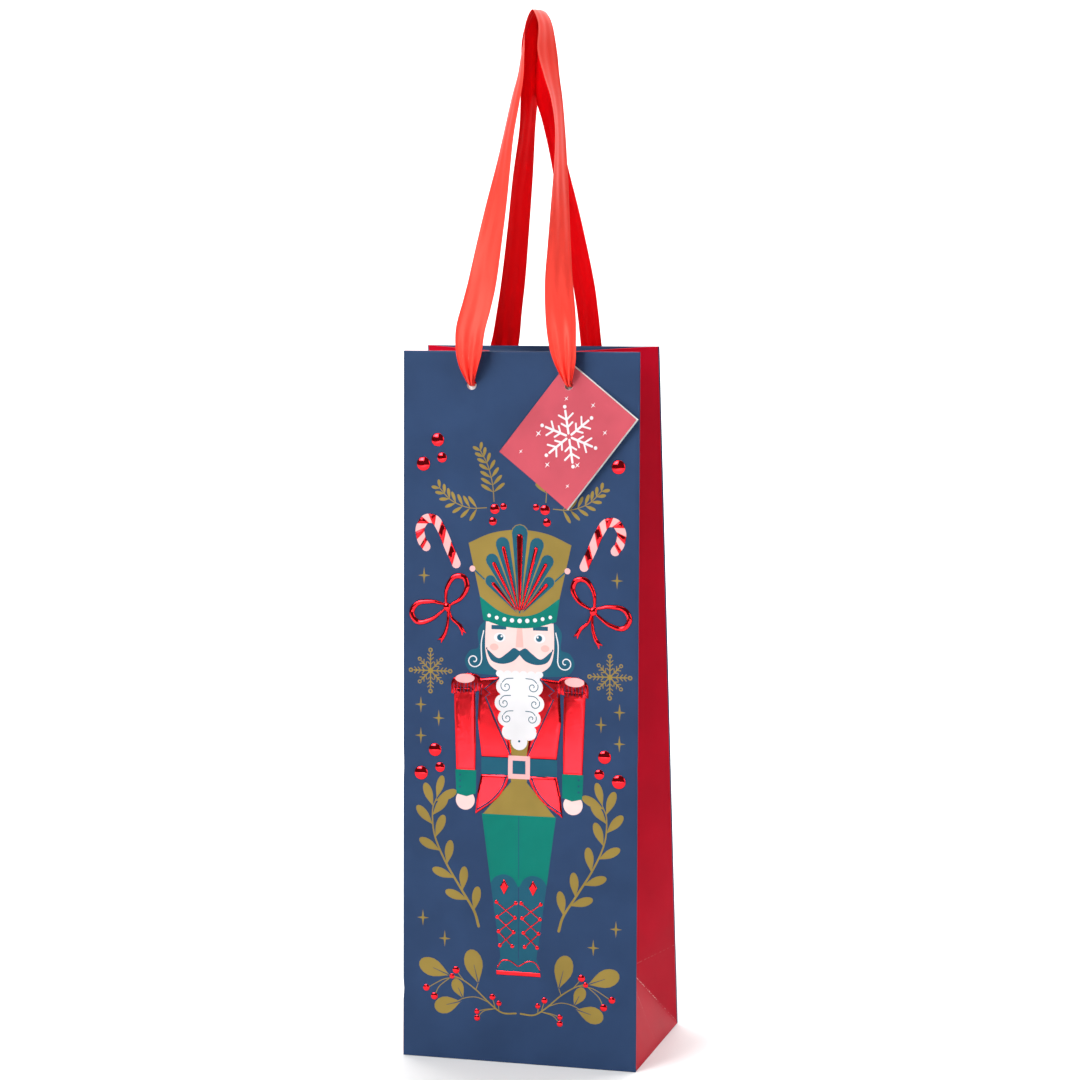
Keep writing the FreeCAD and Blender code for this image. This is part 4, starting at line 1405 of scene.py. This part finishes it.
def knot_piece(name, face):
    """The overhand knots that stop the ribbon inside the bag, each with a short cut tail."""
    vertices, faces, flats = [], [], []

    def strip(centre, normal, half, thick):
        """A flat, slightly pleated band along a line of points."""
        centre, normal = np.array(centre), np.array(normal)
        tangent = unit(np.gradient(centre, axis=0))
        normal = unit(normal - (normal * tangent).sum(1)[:, None] * tangent)
        side = np.cross(tangent, normal)
        ring = 20
        first = len(vertices)
        for index, point in enumerate(centre):
            for k in range(ring):
                angle = 2 * math.pi * k / ring
                crimp = 1 + 0.28 * math.sin(5 * angle + 1.0)
                sideways = side[index] * math.cos(angle) * half[index]
                offset = sideways + normal[index] * math.sin(angle) * thick[index] * crimp
                vertices.append(tuple((point + offset) * MM))
                flats.append((math.cos(angle) * half[index] * MM, index * 0.6 * MM))
        for index in range(len(centre) - 1):
            for k in range(ring):
                a, b = first + index * ring + k, first + index * ring + (k + 1) % ring
                faces.append((a, b, b + ring, a + ring))
        faces.append(tuple(range(first, first + ring))[::-1])
        faces.append(tuple(first + (len(centre) - 1) * ring + k for k in range(ring)))

    radius = 1.45
    loop_steps, tail_steps = 60, 14
    for side in (LEFT, RIGHT):
        hub = np.array([side * KNOT_X, face * KNOT_Y, KNOT_Z])
        line, normals = [], []
        for step in range(loop_steps + 1):
            t = step / loop_steps * 2 * math.pi
            local = np.array([math.sin(t) + 2 * math.sin(2 * t), 1.5 * math.sin(3 * t),
                              math.cos(t) - 2 * math.cos(2 * t)])
            line.append(hub + local * radius * np.array([1.0, 0.8, 1.0]))
            normals.append(local + np.array([0.0, 0.2, 0.0]))
        strip(line, normals, [2.0] * len(line), [0.8] * len(line))
        tail, facing, half, thick = [], [], [], []
        for step in range(tail_steps + 1):
            t = step / tail_steps
            tail.append(hub + np.array([side * -1.4 * t, -face * (2.4 + 1.2 * t), -2.0 - 17.0 * t]))
            facing.append(np.array([0.25 * math.sin(3 * t), -face, 0.1]))
            half.append(1.8 + 3.2 * t ** 0.7)
            thick.append(0.6 - 0.42 * step / tail_steps)
        strip(tail, facing, half, thick)
    mesh = bpy.data.meshes.new(name)
    mesh.from_pydata(vertices, [], faces)
    mesh.materials.append(FINISHES["satin"])
    for polygon in mesh.polygons:
        polygon.use_smooth = len(polygon.vertices) == 4
    lay_flat(mesh, flats)
    return finish_mesh(name, mesh)


# ---- Gift tag ---------------------------------------------------------------------------------

TAG_LONG, TAG_WIDE = 56.0, 44.0
TAG_END = 9.0                                         # from the hole to the near end
TAG_FOLD = 7.0                                        # from the hole to the fold
TAG_HOLE = 2.1


def tag_axes():
    """Origin at the fold beside the hole, then across, along and outward unit vectors."""
    along = FOLD_AXIS.copy()
    outward = -HOLE_AXIS
    across = along.cross(outward)
    if across.dot(HOLE_POINT - FOLD_POINT) < 0:
        across.negate()
    return FOLD_POINT, across.normalized(), along, outward.normalized()


def tag_art():
    """A plain white snowflake among small stars."""
    art = Print()
    # flat x runs across from the fold, and flat y runs back along the fold, so the tag reads upright
    middle = Vector((TAG_WIDE / 2 + 0.5, -(TAG_LONG / 2 - TAG_END)))
    for index in range(6):
        angle = index * math.pi / 3 + 0.3
        arm = Vector((math.cos(angle), math.sin(angle)))
        side = Vector((-arm.y, arm.x))
        art.lay("white", stroke([tuple(middle + arm * 1.6), tuple(middle + arm * 12.6)], 1.1))
        for root, reach in ((4.6, 2.8), (8.2, 3.6)):
            for hand in (1, -1):
                start = middle + arm * root
                tip = start + arm * reach * 0.75 + side * hand * reach
                art.lay("white", stroke([tuple(start), tuple(tip)], 0.9))
        art.lay("white", disc(*(middle + arm * 14.6), 0.9, count=12))
    for x, y, size in ((9.5, -27.5, 1.0), (34.5, -27.0, 0.9), (10.0, -5.5, 0.7), (35.5, -6.0, 0.8),
                       (22.5, -36.5, 0.9), (22.5, 0.5, 0.8), (37.0, -38.0, 0.65), (8.0, -40.0, 0.65)):
        art.lay("white", star(x, y, 2.2 * size, 1.7 * size, 0.42 * size))
    return art


def tag_leaf(name, level, curl, art, reach=0.0):
    """One leaf; level is its outer face's height over the fold's axis, and curl how far its free edge lifts.

    The leaf without art lies underneath: its white inside faces out, and reaches a little past the cover.
    """
    face, reverse = ("card", "raw") if art else ("raw", "card")
    origin, across, along, outward = tag_axes()

    def place(x, y, lift):
        x, y = np.asarray(x, float), np.asarray(y, float)
        share = np.clip(x / TAG_WIDE, 0, 1)
        rise = level + curl * share ** 2 * (1 + 0.25 * np.sin(y / 17.0)) + lift
        return (np.array(origin) + x[..., None] * MM * np.array(across) - y[..., None] * MM * np.array(along)
                + rise[..., None] * MM * np.array(outward))
    columns = steps_between(0.0, TAG_WIDE + reach, 4)
    rows = steps_between(-(TAG_LONG - TAG_END), TAG_END + reach, 4)
    made = printed_sheet(name, art, columns, rows, place, face, [disc(TAG_FOLD, 0.0, TAG_HOLE)])
    thicken_print(made, PAPER, reverse, "raw")
    return made


def tag_spine(name):
    """The rounded fold that joins the leaves."""
    origin, across, along, outward = tag_axes()
    points, flat = [], []
    radius = 0.55
    for share in (0, 0.25, 0.5, 0.75, 1.0):
        run = -TAG_END + share * TAG_LONG
        row, places = [], []
        for step in range(9):
            angle = math.pi / 2 + math.pi * step / 8
            offset = across * math.cos(angle) * radius + outward * math.sin(angle) * radius
            row.append(tuple(origin + along * run * MM + offset * MM))
            places.append((step * 0.2 * MM, run * MM))
        points.append(row)
        flat.append(places)
    made = grid_mesh(name, points, "card", flat)
    thicken(made, PAPER, "raw", "raw")
    return made


# ---- Add-on ------------------------------------------------------------------------------------

def number(name, description, default, **kind):
    return bpy.props.FloatProperty(name=name, description=description, default=default, **kind)


def paint(name, description, default):
    return bpy.props.FloatVectorProperty(name=name, description=description, default=default,
                                         subtype="COLOR")


class GiftBagSettings(bpy.types.PropertyGroup):
    """What a user may change before building the bag's pieces."""

    fold_radius: number(
        "Fold radius", "How round the corner and foot folds are", 0.55 * MM, unit="LENGTH")
    panel_wave: number(
        "Panel wave", "How far the panels buckle from flat", 0.16 * MM, unit="LENGTH")
    berry_relief: number(
        "Berry relief", "Height of a foil berry against its radius", 0.25)
    ribbon_width: number(
        "Ribbon width", "Width of the satin before it is gathered", 15 * MM, unit="LENGTH")
    ribbon_thickness: number(
        "Ribbon thickness", "Thickness of the satin", 0.16 * MM, unit="LENGTH")
    ribbon_cup: number(
        "Ribbon cup", "How far the ribbon curls across its width", 0.22, subtype="ANGLE")
    pleat_count: number(
        "Pleats", "Folds across the ribbon where it is pulled through a hole", 2.5)
    navy: paint("Navy", "Colour of the printed panels", (0.021, 0.046, 0.112))
    gusset: paint("Gusset red", "Colour of the side gussets", (0.46, 0.001, 0.016))
    foil: paint("Foil", "Colour of the hot-stamped foil", (0.90, 0.022, 0.032))
    # painted light and shade: the ribbon colour is a paler coral for the lit ribbon, the back colour a darker
    # red for the ribbon in shade
    ribbon: paint("Ribbon", "Colour of the satin ribbon", (0.92, 0.050, 0.034))
    ribbon_back: paint("Ribbon back", "Colour of the ribbon's dull side", (0.68, 0.001, 0.004))
    tag: paint("Tag", "Colour of the gift tag", (0.475, 0.070, 0.096))
    key_power: number(
        "Key light", "Power of the large light at upper left", 42.0, unit="POWER")
    front_power: number(
        "Front light", "Power of the low light that the foil mirrors", 7.0, unit="POWER")
    side_power: number(
        "Side light", "Power of the light on the right gusset", 8.4, unit="POWER")
    floor_power: number(
        "Floor light", "Power of the light on the floor that the coat mirrors", 40.0, unit="POWER")
    world_strength: number(
        "Surroundings", "Brightness of the even surroundings", 0.12)


COLOUR_SETTINGS = ("navy", "gusset", "foil", "ribbon", "ribbon_back", "tag")


def settings():
    return bpy.context.scene.gift_bag


class BuildFinishes(bpy.types.Operator):
    """Make every material of the bag."""
    bl_idname = "gift_bag.finishes"
    bl_label = "Finishes"

    def execute(self, context):
        chosen = settings()
        FINISHES.update(make_finishes({key: tuple(getattr(chosen, key)) for key in COLOUR_SETTINGS}))
        return {"FINISHED"}


class BuildPanels(bpy.types.Operator):
    """Build the printed front and back panels with their foil berries and hems."""
    bl_idname = "gift_bag.panels"
    bl_label = "Printed panels"

    def execute(self, context):
        shell = Shell(settings())
        for face, word in FACES.items():
            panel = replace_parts(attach(panel_piece(shell, face, front_art()), "bag"), f"{word}_panel")
            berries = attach(berries_piece(shell, face, settings().berry_relief), "bag")
            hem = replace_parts(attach(panel_hem(shell, face), "bag"), f"{word}_turnover")
        return {"FINISHED"}


class BuildGussets(bpy.types.Operator):
    """Build the creased red gussets and their hems."""
    bl_idname = "gift_bag.gussets"
    bl_label = "Gussets"

    def execute(self, context):
        shell = Shell(settings())
        for side, word in SIDES.items():
            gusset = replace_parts(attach(gusset_piece(shell, side), "bag"), f"{word}_gusset")
            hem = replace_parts(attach(gusset_hem(shell, side), "bag"), f"{word}_gusset_turnover")
        return {"FINISHED"}


class FinishBoards(bpy.types.Operator):
    """Give the flaps, cards and base their paper and board finishes."""
    bl_idname = "gift_bag.boards"
    bl_label = "Flaps and boards"

    def execute(self, context):
        paints = {"back_base_flap": "navy", "front_base_flap": "navy", "left_base_flap": "gusset_plain",
                  "right_base_flap": "gusset_plain", "side_seam_flap": "raw", "base_card": "board",
                  "front_reinforcement_card": "raw", "back_reinforcement_card": "raw"}
        for node, finish in paints.items():
            materials = frame["nodes"][node].data.materials
            materials.clear()
            materials.append(FINISHES[finish])
        return {"FINISHED"}


class BuildHandles(bpy.types.Operator):
    """Build both satin ribbons and the knots that hold them."""
    bl_idname = "gift_bag.handles"
    bl_label = "Ribbon handles"

    def execute(self, context):
        chosen = settings()
        for face, word, route in ((FRONT, "front", FRONT_ROUTE), (BACK, "back", BACK_ROUTE)):
            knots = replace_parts(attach(knot_piece(f"{word}_ribbon_knots", face), "bag"),
                                f"{word}_handle_knots")
            ribbon, length = ribbon_piece(f"{word}_satin_ribbon", route, face, chosen)
            start = Vector((0, face * RIBBON_FOOT, PIVOT[face].z))
            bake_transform(ribbon)
            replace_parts(ribbon, f"{word}_handle_ribbon")
        return {"FINISHED"}


class BuildTag(bpy.types.Operator):
    """Build the folded gift tag: two leaves and the fold between them."""
    bl_idname = "gift_bag.tag"
    bl_label = "Gift tag"

    def execute(self, context):
        cover = tag_leaf("tag_cover", level=0.55, curl=2.2, art=tag_art())
        inner = tag_leaf("tag_inner_leaf", level=-0.15, curl=1.8, art=None, reach=0.45)
        spine = tag_spine("tag_fold")
        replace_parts(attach(cover, "tag_cover"), "tag_cover_leaf")
        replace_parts(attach(inner, "tag_back"), "tag_back_leaf")
        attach(spine, "tag_back")
        return {"FINISHED"}


def area_light(name, place, target, size, power, spread=180.0):
    """A soft rectangular light aimed at a point; a small spread in degrees keeps its beam narrow."""
    light = bpy.data.lights.new(name, "AREA")
    light.shape = "RECTANGLE"
    light.size, light.size_y = size
    light.energy = power
    light.spread = math.radians(spread)
    made = add_object(name, light)
    made.location = place
    made.rotation_euler = (Vector(target) - Vector(place)).to_track_quat("-Z", "Y").to_euler()


def camera_at(azimuth, elevation, roll, distance, lens, target):
    """The camera on an arc round a target, with a slight roll."""
    turn, lift, tilt = (math.radians(angle) for angle in (azimuth, elevation, roll))
    back = Vector((math.sin(turn) * math.cos(lift), -math.cos(turn) * math.cos(lift), math.sin(lift)))
    right = (-back).cross(Vector((0, 0, 1))).normalized()
    up = right.cross(-back)
    level = Matrix((right * math.cos(tilt) + up * math.sin(tilt),
                    -right * math.sin(tilt) + up * math.cos(tilt), back)).transposed()
    camera = add_object("camera", bpy.data.cameras.new("camera"))
    camera.data.lens = lens
    camera.data.sensor_width = 36.0
    camera.data.clip_start = 0.05
    camera.matrix_world = Matrix.Translation(Vector(target) + back * distance) @ level.to_4x4()
    bpy.context.scene.camera = camera


def sweep_floor():
    """A pale floor that curves up into a wall far behind the bag."""
    reach, front, back, bend, wall = 4.0, -8.0, 2.2, 1.0, 3.5
    profile = [(front, 0.0), (0.0, 0.0), (back - bend, 0.0)]
    quarter_turn = [step * math.pi / 16 for step in range(1, 9)]
    profile += [(back - bend + bend * math.sin(angle), bend - bend * math.cos(angle))
                for angle in quarter_turn]
    profile.append((back, wall))
    points = [[(x, y, z) for x in (-reach, reach)] for y, z in profile]
    floor = grid_mesh("floor", points, "floor")
    floor.data.flip_normals()
    return floor


class BuildStage(bpy.types.Operator):
    """Set up the pale floor, soft lights, surroundings and camera."""
    bl_idname = "gift_bag.stage"
    bl_label = "Stage"

    def execute(self, context):
        chosen = settings()
        sweep_floor()
        middle = (0.0, 0.0, 0.25)
        area_light("key_light", (-1.1, -1.5, 1.5), middle, (1.2, 1.2), chosen.key_power)
        area_light("front_light", (-0.75, -1.6, 1.05), (0.0, 0.0, 0.2), (0.6, 0.6), chosen.front_power)
        area_light("side_light", (1.6, -0.9, 0.8), middle, (0.8, 1.2), chosen.side_power)
        area_light("top_light", (0.0, 0.3, 1.9), middle, (1.4, 1.0), chosen.side_power * 1.6)
        area_light("wall_light", (0.0, 0.9, 2.2), (0.0, 2.2, 0.6), (3.0, 0.6), chosen.key_power * 2.0)
        area_light("floor_light", (-0.08, -2.6, 1.7), (-0.08, -2.6, 0.0), (1.5, 2.8), chosen.floor_power,
                   spread=12.0)
        world = bpy.data.worlds.new("surroundings")
        world.use_nodes = True
        background = world.node_tree.nodes["Background"]
        background.inputs["Color"].default_value = (1.0, 1.0, 1.0, 1.0)
        background.inputs["Strength"].default_value = chosen.world_strength
        context.scene.world = world
        context.scene.view_settings.view_transform = "Standard"
        camera_at(azimuth=16.695, elevation=7.819, roll=-0.887, distance=1.507578, lens=101.53,
                  target=(0.002731, 0.0, 0.255083))
        return {"FINISHED"}


class GiftBagPanel(bpy.types.Panel):
    """Sidebar panel with the settings and one button for each group of pieces."""
    bl_idname = "VIEW3D_PT_gift_bag"
    bl_label = "Gift Bag"
    bl_space_type = "VIEW_3D"
    bl_region_type = "UI"
    bl_category = "Gift Bag"

    def draw(self, context):
        column = self.layout.column()
        for name in GiftBagSettings.__annotations__:
            column.prop(context.scene.gift_bag, name)
        for operator in OPERATORS:
            column.operator(operator.bl_idname)


OPERATORS = (BuildFinishes, BuildPanels, BuildGussets, FinishBoards, BuildHandles, BuildTag, BuildStage)


def register():
    for each in (GiftBagSettings, *OPERATORS, GiftBagPanel):
        bpy.utils.register_class(each)
    bpy.types.Scene.gift_bag = bpy.props.PointerProperty(type=GiftBagSettings)


def unregister():
    del bpy.types.Scene.gift_bag
    for each in (GiftBagPanel, *reversed(OPERATORS), GiftBagSettings):
        bpy.utils.unregister_class(each)


def main():
    register()
    bpy.ops.gift_bag.finishes()
    bpy.ops.gift_bag.panels()
    bpy.ops.gift_bag.gussets()
    bpy.ops.gift_bag.boards()
    bpy.ops.gift_bag.handles()
    bpy.ops.gift_bag.tag()
    bpy.ops.gift_bag.stage()
    bpy.context.view_layer.update()


if __name__ == "__main__":
    main()
